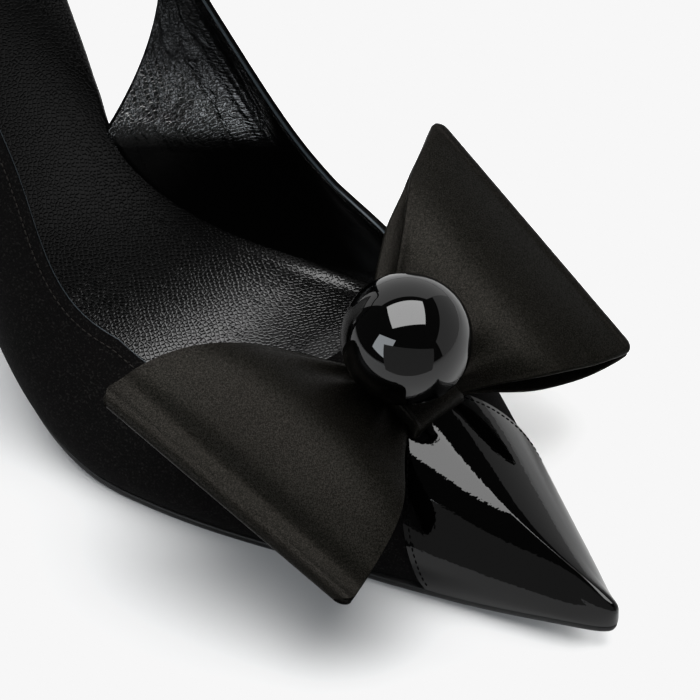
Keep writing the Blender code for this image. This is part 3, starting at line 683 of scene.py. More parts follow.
def wing_column(side, share, shares, drop, rear_drop):
    """Column of a wing: the end is cut square to the strap, and the last column is the hollow rear cut."""
    foot = TOPLINE_START + (WING_REAR - rear_drop - TOPLINE_START) * share
    if share <= WING_CORNER_SHARE:
        top_station = TOPLINE_START + (WING_FRONT - rear_drop - TOPLINE_START) * share / WING_CORNER_SHARE
        top = topline_height(side, top_station) - drop
    else:
        across = (share - WING_CORNER_SHARE) / (1 - WING_CORNER_SHARE)
        top_station = WING_FRONT - rear_drop + WING_END_RUN * across
        top = topline_height(side, WING_FRONT) - drop - WING_END_DROP * across
    hollow = WING_REAR_HOLLOW * share**4
    stations = foot + (top_station - foot) * shares - hollow * 4 * shares * (1 - shares)
    heights = base_height(foot) + (top - base_height(foot)) * shares
    angles = turn(stations)
    return angles, climb_at_height(side, angles, np.maximum(heights, base_height(stations)))


def inside_angle(angle):
    """The cavity ends short of the toe's tip: angles close to the tip are moved back."""
    ease = np.clip(angle / turn(CAVITY_BLEND_STATION), 0, 1)
    return angle + turn(CAVITY_NOSE_STATION) * (1 - ease)**2


def edge_path(columns):
    """The upper's free edge: along the throat and topline, then down the wing's rear cut."""
    return np.concatenate([columns[VAMP_COLUMNS:, -1], columns[-1, -2::-1]])


def lasting_margin(side, angles, turn_in):
    """Foot of a wall layer, turned in towards the sock."""
    points = last_point(side, angles, 0.0)
    points[:, 1] -= side * turn_in * np.clip(np.abs(points[:, 1]) / TURN_IN_FADE, 0, 1)
    points[:, 2] += TURN_IN_LIFT
    return points


def wall_layer(name, material, slot, depth_out, depth_in, drops, turn_in, relief=None):
    """One layer of the upper's wall between two depths, with a round rim along the free edge."""
    skin = Skin()
    edges = {}
    for side in (OUTER, INNER):
        angles, climbs = upper_columns(side, *drops)
        outside_angles = angles if depth_out < SUEDE else inside_angle(angles)
        outside = last_offset(side, outside_angles, climbs, np.full(climbs.shape, -depth_out))
        depth = np.full(climbs.shape, -depth_in)
        if relief is not None:
            depth = depth - relief(side, last_point(side, angles, climbs))
        inside = last_offset(side, inside_angle(angles), climbs, depth)
        pattern = lining_pattern(side, inside)
        skin.grid(outside[:, ::side], pattern[:, ::side])
        skin.grid(inside[:, ::-side], pattern[:, ::-side])
        foot = lasting_margin(side, outside_angles[:, 0], turn_in)
        skin.grid(np.stack([outside[:, 0], foot, inside[:, 0]], 1))
        edges[side] = edge_path(outside), edge_path(inside)
        first, second = edges[side] if side == OUTER else edges[side][::-1]
        skin.grid(rim(first, second))
        skin.grid(np.stack([outside[0], inside[0]], 1))
    return skin.piece(name, material, slot), edges


CREASES = (
    # front station, rear station, distance below the topline at each end, width, depth
    (112, 142, 7.0, 10.0, 0.9, -0.16),
    (114, 143, 9.5, 13.5, 0.9, 0.20),
    (118, 138, 12.5, 16.0, 0.9, 0.22),
    (120, 143, 15.5, 21.0, 0.9, -0.18),
    (124, 143, 18.0, 25.5, 1.0, 0.20),
    (96, 118, 9.0, 17.0, 1.0, 0.20),
)


# A crease wanders along its way: how far, over what length, and with what share of its own place as phase
CREASE_WANDER = ((0.5, 3.1, 2.3), (0.25, 1.3, 1.0))
# Height over the floor of the crest along which the loose lining swells into the shoe, how far it does, its
# half width, the run over which it starts, and the distance below the topline over which it fades
SWELL_CREST, SWELL, SWELL_REACH, SWELL_START_RUN, SWELL_FADE = 34.0, 1.2, 13.0, 14.0, 6.0
# Within this distance of the topline the lining turns out again, away from the light, at a rate
RIM_BAND, RIM_SOFTNESS, RIM_FALL = 6.5, 1.2, 2.4


def below_topline(side, station, height):
    """Distance below the upper's free edge."""
    return topline_height(side, np.clip(station, TOPLINE_START, WING_FRONT)) - height


def lining_creases(side, points):
    """Soft swell of the lining, and folds which run along the topline where the wing bends with the foot."""
    station, height = -points[..., 0], points[..., 2]
    below = below_topline(side, station, height)
    starts = np.clip((station - TOPLINE_START) / SWELL_START_RUN, 0, 1)
    swell = hump(height, SWELL_CREST, SWELL_REACH) * starts
    relief = SWELL * swell * np.clip(below / SWELL_FADE, 0, 1)
    for front, rear, start, end, width, depth in CREASES:
        share = (station - front) / (rear - front)
        window = np.clip(4 * share * (1 - share), 0, 1)**0.7 * (share > 0) * (share < 1)
        wander = sum(far * np.sin(station / length + phase * start) for far, length, phase in CREASE_WANDER)
        place = start + (end - start) * np.clip(share, 0, 1) + wander
        relief += depth * window * hump(below, place, width)
    return relief


def lining_pattern(side, points):
    """Pattern map of the lining: run along the shoe, and height over the swell's crest, less at the rim."""
    station, height = -points[..., 0], points[..., 2]
    into_rim = np.logaddexp(0, (RIM_BAND - below_topline(side, station, height)) / RIM_SOFTNESS)
    return np.stack([run_length(points, 0), height - SWELL_CREST - RIM_FALL * into_rim], -1)


def stitch_tree():
    """Geometry nodes that lay stitches end to end along a line of points."""
    tree = bpy.data.node_groups.new("stitch row", "GeometryNodeTree")
    face = tree.interface
    face.new_socket("Line", in_out="INPUT", socket_type="NodeSocketGeometry")
    for name in ("Pitch", "Stitch Length", "Thread"):
        face.new_socket(name, in_out="INPUT", socket_type="NodeSocketFloat")
    face.new_socket("Material", in_out="INPUT", socket_type="NodeSocketMaterial")
    face.new_socket("Stitches", in_out="OUTPUT", socket_type="NodeSocketGeometry")
    given = add(tree, "NodeGroupInput").outputs
    line = add(tree, "GeometryNodeMeshToCurve", {"Mesh": given["Line"]})
    places = add(tree, "GeometryNodeCurveToPoints", {"Curve": line, "Length": given["Pitch"]}, mode="LENGTH")
    ball = add(tree, "GeometryNodeMeshUVSphere", {"Segments": 8, "Rings": 5, "Radius": 0.5})
    size = add(tree, "ShaderNodeCombineXYZ", {"X": given["Thread"], "Y": given["Thread"],
                                              "Z": given["Stitch Length"]})
    laid = add(tree, "GeometryNodeInstanceOnPoints", {
        "Points": places, "Instance": ball, "Rotation": places.outputs["Rotation"], "Scale": size})
    real = add(tree, "GeometryNodeRealizeInstances", {"Geometry": laid})
    done = add(tree, "GeometryNodeSetMaterial", {"Geometry": real, "Material": given["Material"]})
    add(tree, "NodeGroupOutput", {"Stitches": done})
    return tree


STITCH_TREE = stitch_tree()


def stitch_row(name, paths, pitch, length, material):
    """Stitches along rows of points in millimetres, as one plain mesh."""
    line = bpy.data.meshes.new(name + " line")
    points, edges = [], []
    for path in paths:
        edges += [(len(points) + i, len(points) + i + 1) for i in range(len(path) - 1)]
        points += list(in_frame(path))
    line.from_pydata(points, edges, [])
    holder = bpy.data.objects.new(name + " line", line)
    bpy.context.scene.collection.objects.link(holder)
    modifier = holder.modifiers.new("stitches", "NODES")
    modifier.node_group = STITCH_TREE
    values = {"Pitch": pitch * MM, "Stitch Length": length * MM, "Thread": THREAD * MM, "Material": material}
    for item in STITCH_TREE.interface.items_tree:
        if item.in_out == "INPUT" and item.name in values:
            modifier[item.identifier] = values[item.name]
    graph = bpy.context.evaluated_depsgraph_get()
    mesh = bpy.data.meshes.new_from_object(holder.evaluated_get(graph))
    holder.modifiers.remove(modifier)
    bpy.data.objects.remove(holder)
    mesh.name = name
    return add_piece(name, mesh, material)


def inset_path(outside, inside, inset, piece, lift):
    """Path on a piece's surface at a distance from its free edge."""
    along = np.gradient(outside, axis=0)
    away = np.cross(outside - inside, along)
    away /= np.linalg.norm(away, axis=-1, keepdims=True)
    inward = away if np.dot(away[0], (1.0, 0.0, 0.0)) > 0 else -away
    mesh = piece.data
    tree = BVHTree.FromPolygons([v.co for v in mesh.vertices], [p.vertices for p in mesh.polygons])
    # The surface is looked for from a little outside it, as a share of the layer's thickness
    stand_off = 0.2
    path = []
    for start, step, depth in zip(outside, inward, outside - inside):
        place, normal, _, _ = tree.find_nearest(Vector(in_frame(start + step * inset + stand_off * depth)))
        path.append((np.array(place + normal * lift * MM) / MM) - SHIFT)
    return np.array(path)


def build_upper():
    """Suede outside, bound edge and glazed lining, with stitches along the throat, topline and rear cut."""
    suede, edges = wall_layer("upper_suede", SUEDE_LEATHER, "suede", 0.0, SUEDE, (0.0, 0.0), SUEDE_TURN_IN)
    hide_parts("upper")
    wall_layer("upper_binding", EDGE_DYE, "suede", SUEDE, SUEDE + BINDING, (BINDING_DROP, BINDING_REAR_DROP),
               BINDING_TURN_IN)
    wall_layer("upper_lining", LINING_LEATHER, "grained_leather", SUEDE + BINDING, WALL,
               (LINING_DROP, LINING_DROP), LINING_TURN_IN, lining_creases)
    # The row starts beside the ridge and stops short of the sole
    sewn = slice(2, THROAT_COLUMNS + WING_COLUMNS + UPPER_ROWS - 6)
    paths = [inset_path(edges[side][0][sewn], edges[side][1][sewn], TOPLINE_INSET, suede, TOPLINE_LIFT)
             for side in (OUTER, INNER)]
    stitch_row("topline_stitches", paths, TOPLINE_PITCH, TOPLINE_STITCH, TOPLINE_THREAD)


build_upper()


# Toe cap


# The cap's rows crowd towards its ridge
CAP_COLUMNS, CAP_ROWS, CAP_ROW_CROWDING, CAP_RIM_STEPS = 60, 41, 2.2, 5
# The cap is thinner at its cut edge, from a share of its length on, and lies close on the upper
CAP_LOW_EDGE, CAP_THIN_START, CAP_THIN_RUN, CAP_SEAT = 0.12, 0.93, 0.07, 0.02
# Its crest stays sharp: up from a climb it is lifted straight up, in full behind the nose
CREST_START, CREST_RUN, CREST_NOSE = 0.1, 0.4, 9.0


def build_toe_cap():
    """Patent overlay on the upper's own surface, thinned towards its cut edge and stitched along it."""
    skin = Skin()
    climbs = 1 - np.linspace(1, 0, CAP_ROWS)**CAP_ROW_CROWDING
    shares = np.linspace(0, 1, CAP_COLUMNS)[:, None]
    near_edge = np.clip((shares - CAP_THIN_START) / CAP_THIN_RUN, 0, 1)**2
    lift = GAP + CAP_THICKNESS - CAP_LOW_EDGE * near_edge + 0 * climbs
    edges = []
    for side in (OUTER, INNER):
        bend = 1 - (1 - climbs)**CAP_EDGE_BEND[side]
        angles = shares * turn(CAP_SIDE_STATION + (CAP_RIDGE_STATION - CAP_SIDE_STATION) * bend)
        outside = last_offset(side, angles, climbs + 0 * shares, lift)
        raised = last_point(side, angles, climbs) + lift[..., None] * np.array([0.0, 0.0, 1.0])
        past_nose = np.sin(np.clip(station_at(angles) / CREST_NOSE, 0, 1) * math.pi / 2)**2
        near_crest = np.clip((climbs - CREST_START) / CREST_RUN, 0, 1) * past_nose
        outside += near_crest[..., None] * (raised - outside)
        inside = last_offset(side, angles, climbs + 0 * shares, np.full(lift.shape, CAP_SEAT))
        skin.grid(outside[:, ::side])
        skin.grid(inside[:, ::-side])
        skin.grid(np.stack([outside[:, 0], inside[:, 0]], 1))
        edges.append((outside[-1], inside[-1]))
        first, second = edges[-1][::side]
        skin.grid(rim(first, second, CAP_RIM_STEPS))
    cap = skin.piece("toe_cap_patent", PATENT_LEATHER, "patent")
    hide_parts("toe_cap")
    rows = [inset_path(outside[1:], inside[1:], CAP_INSET, cap, CAP_LIFT) for outside, inside in edges]
    stitch_row("toe_cap_stitches", rows, CAP_PITCH, CAP_STITCH, CAP_THREAD)


build_toe_cap()


# Sole, sock, heel and strap


SOLE_ROWS, SOCK_ROWS, SOCK_COLUMNS, STRAP_ROWS, STRAP_COLUMNS = 221, 181, 61, 121, 13
HEEL_ROWS, HEEL_COLUMNS = 41, 73
# Room between the heel's cover and its top piece, and how far the strap's round edge stands out
TOP_PIECE_GAP, STRAP_EDGE = 0.05, 0.35
TOP_PIECE_PROFILE = (
    # share of the width, height over the floor
    (0.0, TOP_PIECE_HEIGHT),
    (0.96, TOP_PIECE_HEIGHT),
    (1.0, TOP_PIECE_HEIGHT - 0.3),
    (1.0, 0.4),
    (0.94, 0.0),
    (0.0, 0.0),
)


def plan_edge(side, angle, margin):
    """Point of the base line in plan, moved out by a margin square to it."""
    ends = np.clip(np.array([angle - STEP, angle + STEP]), 0, math.pi)
    along_x, along_y = np.diff(-station_at(ends))[0], np.diff(BASE_SIDE[side](ends))[0]
    length = math.hypot(along_x, along_y)
    x = -station_at(angle) + side * margin * along_y / length
    y = BASE_SIDE[side](angle) - side * margin * along_x / length
    return np.array([x, y])


def sole_section(angle, margins, low, high, top_round, crown=0.0, columns=25):
    """Section of a sole layer: flat faces with rounded edges, from the outer side over the top and back."""
    margin = np.interp(station_at(angle), *np.array(margins).T)
    top_middle, low_middle = ROUND_MIDDLE * top_round, ROUND_MIDDLE * EDGE_ROUND
    corners = []
    for fall, level in ((top_round, high), (top_middle, high - top_middle), (0.0, high - top_round),
                        (0.0, low + EDGE_ROUND), (low_middle, low + low_middle), (EDGE_ROUND, low)):
        ends = [plan_edge(side, angle, margin - fall) for side in (OUTER, INNER)]
        corners.append((ends, level))
    shares = np.linspace(0, 1, columns)
    rises = crown + 0 * shares
    (outer, inner), level = corners[0]
    ring = [(outer + (inner - outer) * share, level + rise) for share, rise in zip(shares, rises)]
    ring += [(ends[1], level) for ends, level in corners[1:]]
    (outer, inner), level = corners[-1]
    ring += [(inner + (outer - inner) * share, level) for share in shares[1:]]
    ring += [(ends[0], level) for ends, level in corners[-2:0:-1]]
    ring.append(ring[0])
    return np.array([(x, y, layer_height(-x, level)) for (x, y), level in ring])


def build_sole():
    """Thin leather sole with its arch and toe spring."""
    skin = Skin()
    skin.grid([sole_section(angle, SOLE_MARGIN, 0.0, SOLE_THICKNESS, SOLE_TOP_ROUND)
               for angle in np.linspace(0, math.pi, SOLE_ROWS)])
    sole = skin.piece("outsole_leather", SOLE_LEATHER, "sole_leather")
    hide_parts("outsole")


def build_sock():
    """Padded sock on its board, with a small fold along the inner wall."""
    skin = Skin()
    low = SOLE_THICKNESS + GAP
    shares = np.linspace(0, 1, SOCK_COLUMNS)
    leaning = shares**SOCK_CROWN_LEAN
    rings = []
    for angle in np.linspace(turn(INSOLE_START), math.pi, SOCK_ROWS):
        station = station_at(angle)
        crown = np.interp(station, *np.array(SOCK_CROWN).T) * 4 * leaning * (1 - leaning)
        from_edge = (1 - shares) * (BASE_SIDE[INNER](angle) - BASE_SIDE[OUTER](angle))
        fold = hump(from_edge, SOCK_FOLD_INSET, SOCK_FOLD_WIDTH)
        fold_here = SOCK_FOLD_HEIGHT * hump(station, SOCK_FOLD_STATION, SOCK_FOLD_LENGTH)
        rings.append(sole_section(angle, INSOLE_MARGIN, low, low + INSOLE_THICKNESS, SOCK_TOP_ROUND,
                                  crown + fold_here * fold, SOCK_COLUMNS))
    rings = np.array(rings)
    middle = SOCK_COLUMNS // 2
    along = run_length(rings[:, middle:middle + 1], 0) + 0 * rings[..., 0]
    skin.grid(rings, np.stack([along, rings[..., 1]], -1))
    skin.grid(np.stack([rings[0], np.broadcast_to(rings[0].mean(0), rings[0].shape)], 0))
    sock = skin.piece("insole_sock", INSOLE_LEATHER, "grained_leather")
    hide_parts("insole")


def heel_ring(shape, scale):
    """Stations and sides of a heel's section, which is longer behind its centre than in front of it."""
    centre, behind, front, half_width = shape
    angles = np.linspace(0, 2 * math.pi, HEEL_COLUMNS)
    reach = np.where(np.cos(angles) > 0, behind, front) * scale
    return centre + reach * np.cos(angles), HEEL_SIDE + half_width * scale * np.sin(angles)


def build_heel():
    """Covered heel under the seat, and the top piece on which it stands."""
    rings = []
    wall = [(share, 1.0) for share in np.linspace(0, 1, HEEL_ROWS)]
    for share, scale in [(0.0, 0.0), (0.0, 0.5)] + wall + [(1.0, 0.0)]:
        station, side = heel_ring([column(share) for column in HEEL_SHAPE], scale)
        height = (1 - share) * layer_height(station, -GAP) + share * (TOP_PIECE_HEIGHT + TOP_PIECE_GAP)
        rings.append(np.stack([-station, side, height], -1))
    skin = Skin()
    skin.grid(rings)
    heel = skin.piece("heel_cover", SUEDE_LEATHER, "suede")
    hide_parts("heel")
    rings = []
    for scale, height in TOP_PIECE_PROFILE:
        station, side = heel_ring(HEEL[-1][1:], scale)
        rings.append(np.stack([-station, side, np.full(side.shape, height)], -1))
    skin = Skin()
    skin.grid(rings)
    tip = skin.piece("heel_top_piece", RUBBER, "top_piece", sharp=40)
    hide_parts("heel_tip")


def build_strap():
    """Suede band round the heel, lapped inside the wings, with a row of stitches near each edge."""
    angles = np.linspace(turn(STRAP_LAP_STATION), math.pi, STRAP_ROWS)
    shares = np.linspace(-1, 1, STRAP_COLUMNS)
    depth = np.full(shares.shape, -WALL - GAP)
    outside, inside = [], []
    for side, order in ((OUTER, angles), (INNER, angles[-2::-1])):
        for angle in order:
            ends = np.clip(np.array([angle - STEP, angle + STEP]), 0, math.pi)
            ground = np.diff(last_point(side, ends, 0.5), axis=0)[0][:2]
            climb_rate = np.diff(STRAP_HEIGHT(station_at(ends)))[0] / np.linalg.norm(ground)
            half = (STRAP_WIDTH / 2 - STRAP_EDGE) * math.sqrt(1 + climb_rate**2)
            levels = STRAP_HEIGHT(station_at(angle)) + half * shares
            column = np.full(shares.shape, angle)
            climbs = climb_at_height(side, column, levels)
            outside.append(last_offset(side, column, climbs, depth))
            inside.append(last_offset(side, column, climbs, depth - STRAP_THICKNESS))
    outside, inside = np.array(outside), np.array(inside)
    strap = band_skin(outside, inside).piece("sling_strap_suede", SUEDE_LEATHER, "suede")
    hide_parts("sling_strap")
    away = (outside - inside) / np.linalg.norm(outside - inside, axis=-1, keepdims=True)
    rows = [(outside + away * STRAP_LIFT)[:, row] for row in (1, -2)]
    stitch_row("strap_stitches", rows, TOPLINE_PITCH, TOPLINE_STITCH, TOPLINE_THREAD)


build_sole()
build_sock()
build_heel()
build_strap()


# Bow and bead


LOOP_STEPS, FOLD_STEPS, RIBBON_STEPS = 60, 25, 49
# A loop's ends are tucked under the knot by this much
TUCK = 2.0
# Near the knot the inner loop's lower layer shows past the upper one, which is drawn in there, at the heel.
# Each starts at a distance from the fold and takes a further distance to be there in full.
UNDER_REACH, UNDER_START, UNDER_RUN = {OUTER: 0.0, INNER: 1.75}, 13.5, 11.5
UPPER_DRAWN, DRAWN_START, DRAWN_RUN = {OUTER: 0.0, INNER: 3.9}, 15.0, 25.0
# A soft trough runs along the outer loop's fold
FOLD_TROUGH, TROUGH_FROM_FOLD, TROUGH_WIDTH = {OUTER: 0.8, INNER: 0.0}, 5.6, 2.0
# The inner loop's heel edge runs hollow between its fold and the knot
HEEL_EDGE_HOLLOW, HOLLOW_FROM_FOLD, HOLLOW_LENGTH = {OUTER: 0.0, INNER: 1.4}, 6.0, 8.0
# Pleats fan out from the knot: their height, their number, and where along the loop they are strongest
PLEAT_HEIGHT, PLEATS, PLEAT_PHASE, PLEAT_PLACE, PLEAT_REACH = 0.55, 3.5, 0.6, 6.0, 9.0
# The ribbon's edges curl down, less on the inner loop's lower layer, and not at the fold
EDGE_CURL, UNDER_CURL, CURL_RUN = 1.8, 0.5, 12.0
# Inside the fold, its corners are filled over this distance
CORNER_FILL = 5.0
# The knot's rolled lip at its outer side: height, place and width as shares of the knot, and run at its start
LIP_HEIGHT, LIP_PLACE, LIP_WIDTH, LIP_RUN = 0.7, -0.86, 0.08, 0.3
# The knot's top falls towards its ends and rolls over at its edges, more sharply with a higher power
KNOT_STEPS, KNOT_END_FALL, KNOT_SIDE_ROLL, KNOT_END_ROLL, KNOT_FOOT = 61, 1.1, 14, 12, -1.0
SEAT_PLAY, BEAD_ROWS, BEAD_COLUMNS = 0.1, 65, 129


def loop_path(side, skin):
    """Distance, height and share of fold along a loop: out below, round the fold, and back above."""
    start = KNOT_HALF_WIDTH + side * KNOT_SIDE - TUCK
    out = np.linspace(start, LOOP_FLAT, LOOP_STEPS)
    lower, upper = LOOP_LOWER(out) - skin, LOOP_UPPER(out) + skin
    middle, half = (lower[-1] + upper[-1]) / 2, (upper[-1] - lower[-1]) / 2
    angles = np.linspace(-math.pi / 2, math.pi / 2, FOLD_STEPS)[1:-1]
    reach = (FOLD_REACH[side] - RIBBON / 2 + skin - LOOP_FLAT) * np.cos(angles)
    distance = np.concatenate([out, LOOP_FLAT + reach, out[::-1]])
    height = np.concatenate([lower, middle + half * np.sin(angles), upper[::-1]])
    fold = np.concatenate([0 * out, np.cos(angles), 0 * out])
    return distance, height, fold


def loop_skin(side, skin):
    """One skin of a loop as a grid of points."""
    distance, height, fold = [column[:, None] for column in loop_path(side, skin)]
    flat = np.minimum(distance, LOOP_FLAT)
    toe, heel = [edge(flat) * (1 - FOLD_CORNER * fold**2) for edge in LOOP_EDGES[side]]
    under = np.arange(len(distance))[:, None] < LOOP_STEPS
    from_fold = FOLD_REACH[side] - distance
    past = np.clip((from_fold - UNDER_START) / UNDER_RUN, 0, 1)
    drawn = np.clip((from_fold - DRAWN_START) / DRAWN_RUN, 0, 1)
    heel = heel + np.where(under, UNDER_REACH[side] * past**2 * (3 - 2 * past), -UPPER_DRAWN[side] * drawn)
    heel = heel - HEEL_EDGE_HOLLOW[side] * hump(from_fold, HOLLOW_FROM_FOLD, HOLLOW_LENGTH)
    shares = np.linspace(0, 1, RIBBON_STEPS)
    along = toe * shares - heel * (1 - shares)
    out = distance * (1 - FOLD_SLANT * along / FOLD_REACH[side])
    waves = np.sin(2 * math.pi * PLEATS * shares + PLEAT_PHASE * side)
    pleats = PLEAT_HEIGHT * hump(distance, PLEAT_PLACE, PLEAT_REACH) * waves
    groove = FOLD_TROUGH[side] * hump(from_fold, TROUGH_FROM_FOLD, TROUGH_WIDTH)
    lower, upper = LOOP_LOWER(flat), LOOP_UPPER(flat)
    on_top = np.clip((height - lower) / (upper - lower), 0, 1)
    to_edge = np.abs(2 * shares - 1)
    if skin < 0:
        height = height + to_edge**8 * hump(from_fold, 0.0, CORNER_FILL) * ((lower + upper) / 2 - height)
    curl = np.where(under & (side == INNER), UNDER_CURL, EDGE_CURL) * to_edge**3
    curl = curl * np.clip(from_fold / CURL_RUN, 0, 1)
    return bow_point(along, side * out, height + pleats - groove * on_top - curl)


def build_loop(side, name, node):
    """Satin ribbon folded back on itself."""
    outside, inside = loop_skin(side, RIBBON / 2), loop_skin(side, -RIBBON / 2)
    loop = band_skin(outside, inside).piece(name, SATIN, "satin")
    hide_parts(node)
    length = run_length(outside, 0)[-1].mean()
    width = run_length(outside, 1)[:, -1]


def build_knot():
    """Satin band drawn over the bow's middle, with rolled edges and a dish under the bead."""
    skin = Skin()
    shares = np.linspace(-1, 1, KNOT_STEPS)
    along_share, out_share = np.meshgrid(shares, shares, indexing="ij")
    along = along_share * np.where(along_share > 0, KNOT_TOE, KNOT_HEEL)
    out = KNOT_SIDE + out_share * KNOT_HALF_WIDTH
    side_roll = (1 - np.abs(out_share)**KNOT_SIDE_ROLL)**0.5
    end_roll = (1 - np.abs(along_share)**KNOT_END_ROLL)**0.5
    lip = LIP_HEIGHT * hump(out_share, LIP_PLACE, LIP_WIDTH) * np.clip(along_share / LIP_RUN, 0, 1)
    crown = (KNOT_CROWN - KNOT_END_FALL * along_share**2 + lip) * side_roll * end_roll
    seat = BEAD_LIFT - np.sqrt(np.maximum((BEAD_DIAMETER / 2 + SEAT_PLAY)**2 - along**2 - out**2, 0.0))
    top = bow_point(along, out, np.minimum(crown, seat))
    bottom = bow_point(along, out, np.full(along.shape, KNOT_FOOT))
    skin.grid(top)
    skin.grid(bottom[:, ::-1])
    for pick in (np.s_[0], np.s_[-1], np.s_[:, 0], np.s_[:, -1]):
        skin.grid(np.stack([top[pick], bottom[pick]], 0))
    knot = skin.piece("bow_knot_satin", SATIN, "satin")
    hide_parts("bow_knot")


def build_bead():
    """Round bead, resting in the knot's dish."""
    angles = np.linspace(0, math.pi, BEAD_ROWS)[:, None]
    turns = np.linspace(0, 2 * math.pi, BEAD_COLUMNS)
    sphere = np.stack([np.sin(angles) * np.cos(turns), np.sin(angles) * np.sin(turns),
                       np.cos(angles) + 0 * turns], -1)
    skin = Skin()
    skin.grid(bow_point(0.0, 0.0, BEAD_LIFT) + BEAD_DIAMETER / 2 * sphere)
    bead = skin.piece("bead_resin", RESIN, "bead")
    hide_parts("bead")


build_loop(OUTER, "bow_loop_lateral_satin", "bow_loop_lateral")
build_loop(INNER, "bow_loop_medial_satin", "bow_loop_medial")
build_knot()
build_bead()


# Studio


# In metres, seen from the bead's middle
PANELS = (
    # name, place, direction across, direction upward, size, glow, tint
    ("softbox_overhead", (-0.11, 0.10, 1.2), (0.61, 0.79, 0.0), (-0.79, 0.61, 0.0), (1.33, 1.03),
     8.0, "#ffffff"),
    ("softbox_outer", (-0.132, -0.829, 0.409), (0.799, 0.542, -0.263), (0.061, 0.361, 0.930), (0.685, 0.50),
     5.8, "#f3f9ff"),
    ("backdrop_far", (-0.74, 0.60, 0.60), (0.63, 0.776, 0.0), (0.0, 0.0, 1.0), (1.9, 1.25), 0.9, "#ffffff"),
    ("backdrop_toe", (0.53, 0.62, 0.27), (0.87, -0.5, 0.0), (0.0, 0.0, 1.0), (1.49, 0.63), 0.54, "#ffffff"),
    ("card_front", (0.101, -0.100, 0.013), (0.718, 0.684, -0.127), (-0.345, 0.302, 0.889), (0.238, 0.142),
     0.34, "#ffffff"),
)
# A small light on the inner side falls on the floor that the camera sees and on nothing else, as when a shop
# picture's ground is cleared of its far shadow
FLOOR_FILL = ("floor_fill", (0.04, 0.35, 0.087), (0.998, -0.055, 0.0), (-0.023, -0.42, 0.907), (0.25, 0.25),
              21.0, "#ffffff")
# The floor that lights and mirrors lies a little below the one that the camera sees
FLOOR_SIZE, FLOOR_STEP = 24.0, 0.0003
DOME_RADIUS, DOME_GLOW, DIM_GLOW = 9.0, 0.8, 0.04
# The brightest tones bend off at the shoulder and level off at paper white
SHOULDER, PAPER_WHITE = 0.88, 0.93


def light_paint(name, radiance, tint="#ffffff"):
    """Plain glow of a softbox or of a lit panel."""
    material = bpy.data.materials.new(name)
    material.use_nodes = True
    tree = material.node_tree
    tree.nodes.clear()
    glow = add(tree, "ShaderNodeEmission", {"Color": hue(tint), "Strength": radiance})
    add(tree, "ShaderNodeOutputMaterial", {"Surface": glow})
    return material


def add_panel(name, middle, across, upward, size, material):
    """Flat stage panel, out of the camera's sight, from its middle, its two directions and its size."""
    across, upward = Vector(across).normalized(), Vector(upward).normalized()
    corners = [Vector(middle) + across * (size[0] / 2 * a) + upward * (size[1] / 2 * b)
               for a, b in ((-1, -1), (1, -1), (1, 1), (-1, 1))]
    mesh = bpy.data.meshes.new(name)
    mesh.from_pydata(corners, [], [(0, 1, 2, 3)])
    mesh.materials.append(material)
    panel = bpy.data.objects.new(name, mesh)
    bpy.context.scene.collection.objects.link(panel)
    panel.visible_camera = panel.visible_shadow = False
    return panel


def add_light(name, place, across, upward, size, glow, tint):
    """Panel that glows."""
    paint = light_paint(name + " glow", glow, tint)
    return add_panel(name, BEAD_MIDDLE * MM + place, across, upward, size, paint)


def paper_floor(name, colour):
    """Paper sweep, matt: an even pale ground without gloss."""
    material, tree, shader, _, _ = new_material(name)
    feed(tree, shader, {"Base Color": hue(colour), "Roughness": 1.0, "Specular IOR Level": 0.0})
    return material


def pale_dome():
    """Plain pale backdrop round the studio, which only the camera sees and which lights nothing."""
    mesh = bpy.data.meshes.new("pale_dome")
    work = bmesh.new()
    bmesh.ops.create_uvsphere(work, u_segments=48, v_segments=24, radius=DOME_RADIUS)
    work.to_mesh(mesh)
    work.free()
    mesh.shade_smooth()
    mesh.materials.append(light_paint("pale backdrop", DOME_GLOW))
    dome = bpy.data.objects.new("pale_dome", mesh)
    bpy.context.scene.collection.objects.link(dome)
    dome.visible_diffuse = dome.visible_glossy = dome.visible_transmission = dome.visible_shadow = False


def film_shoulder():
    """Standard view whose brightest tones level off at paper white."""
    view = bpy.context.scene.view_settings
    view.view_transform = "Standard"
    view.use_curve_mapping = True
    curve = view.curve_mapping.curves[3]
    curve.points[0].location = (0.0, 0.0)
    curve.points[1].location = (1.0, PAPER_WHITE)
    curve.points.new(SHOULDER, SHOULDER)
    for point in curve.points:
        point.handle_type = "VECTOR"
    view.curve_mapping.extend = "HORIZONTAL"
    view.curve_mapping.update()


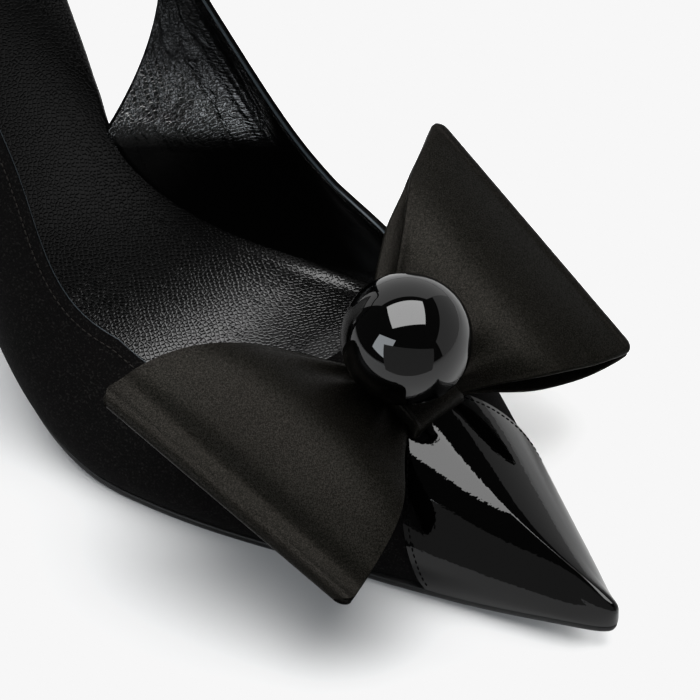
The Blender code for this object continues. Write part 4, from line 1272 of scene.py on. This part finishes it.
def build_studio():
    """Soft studio: a large softbox overhead, a smaller one on the outer side, pale panels and a floor."""
    panels = {row[0]: add_light(*row) for row in PANELS}
    panels["card_front"].visible_diffuse = False
    paper = paper_floor("pale paper", "#bebebe")
    _, shown = [add_panel(name, (0.0, 0.0, height), (1, 0, 0), (0, 1, 0), (FLOOR_SIZE, FLOOR_SIZE), paper)
                for name, height in (("floor", -FLOOR_STEP), ("floor_shown", 0.0))]
    shown.visible_camera = True
    shown.visible_diffuse = shown.visible_glossy = False
    fill = add_light(*FLOOR_FILL)
    fill.visible_glossy = False
    lit_floor = bpy.data.collections.new("lit floor")
    lit_floor.objects.link(shown)
    fill.light_linking.receiver_collection = lit_floor
    pale_dome()
    world = bpy.data.worlds.new("dim studio")
    world.use_nodes = True
    tree = world.node_tree
    feed(tree, tree.nodes["Background"], {"Color": hue("#ffffff"), "Strength": DIM_GLOW})
    bpy.context.scene.world = world
    film_shoulder()


def build_camera():
    """Camera at the photograph's angle: the toe's tip lands on its pixel."""
    back = np.array([math.sin(CAMERA_AZIMUTH) * math.cos(CAMERA_ELEVATION),
                     -math.cos(CAMERA_AZIMUTH) * math.cos(CAMERA_ELEVATION), math.sin(CAMERA_ELEVATION)])
    right = np.array([math.cos(CAMERA_AZIMUTH), math.sin(CAMERA_AZIMUTH), 0.0])
    up = np.cross(back, right)
    across, down = [(px - PICTURE_PX / 2) / FOCAL_PX for px in TIP_PX]
    place = np.array([0.0, 0.0, TIP_HEIGHT]) - CAMERA_DISTANCE * (right * across - up * down - back)
    lens = bpy.data.cameras.new("camera")
    lens.sensor_width = SENSOR
    lens.lens = FOCAL_PX / PICTURE_PX * SENSOR
    lens.clip_start, lens.clip_end = 0.01, 100.0
    camera = bpy.data.objects.new("camera", lens)
    turned = Matrix(np.stack([right, up, back], 1)).to_4x4()
    camera.matrix_world = Matrix.Translation(Vector(in_frame(place))) @ turned
    bpy.context.scene.collection.objects.link(camera)
    bpy.context.scene.camera = camera


build_studio()
build_camera()
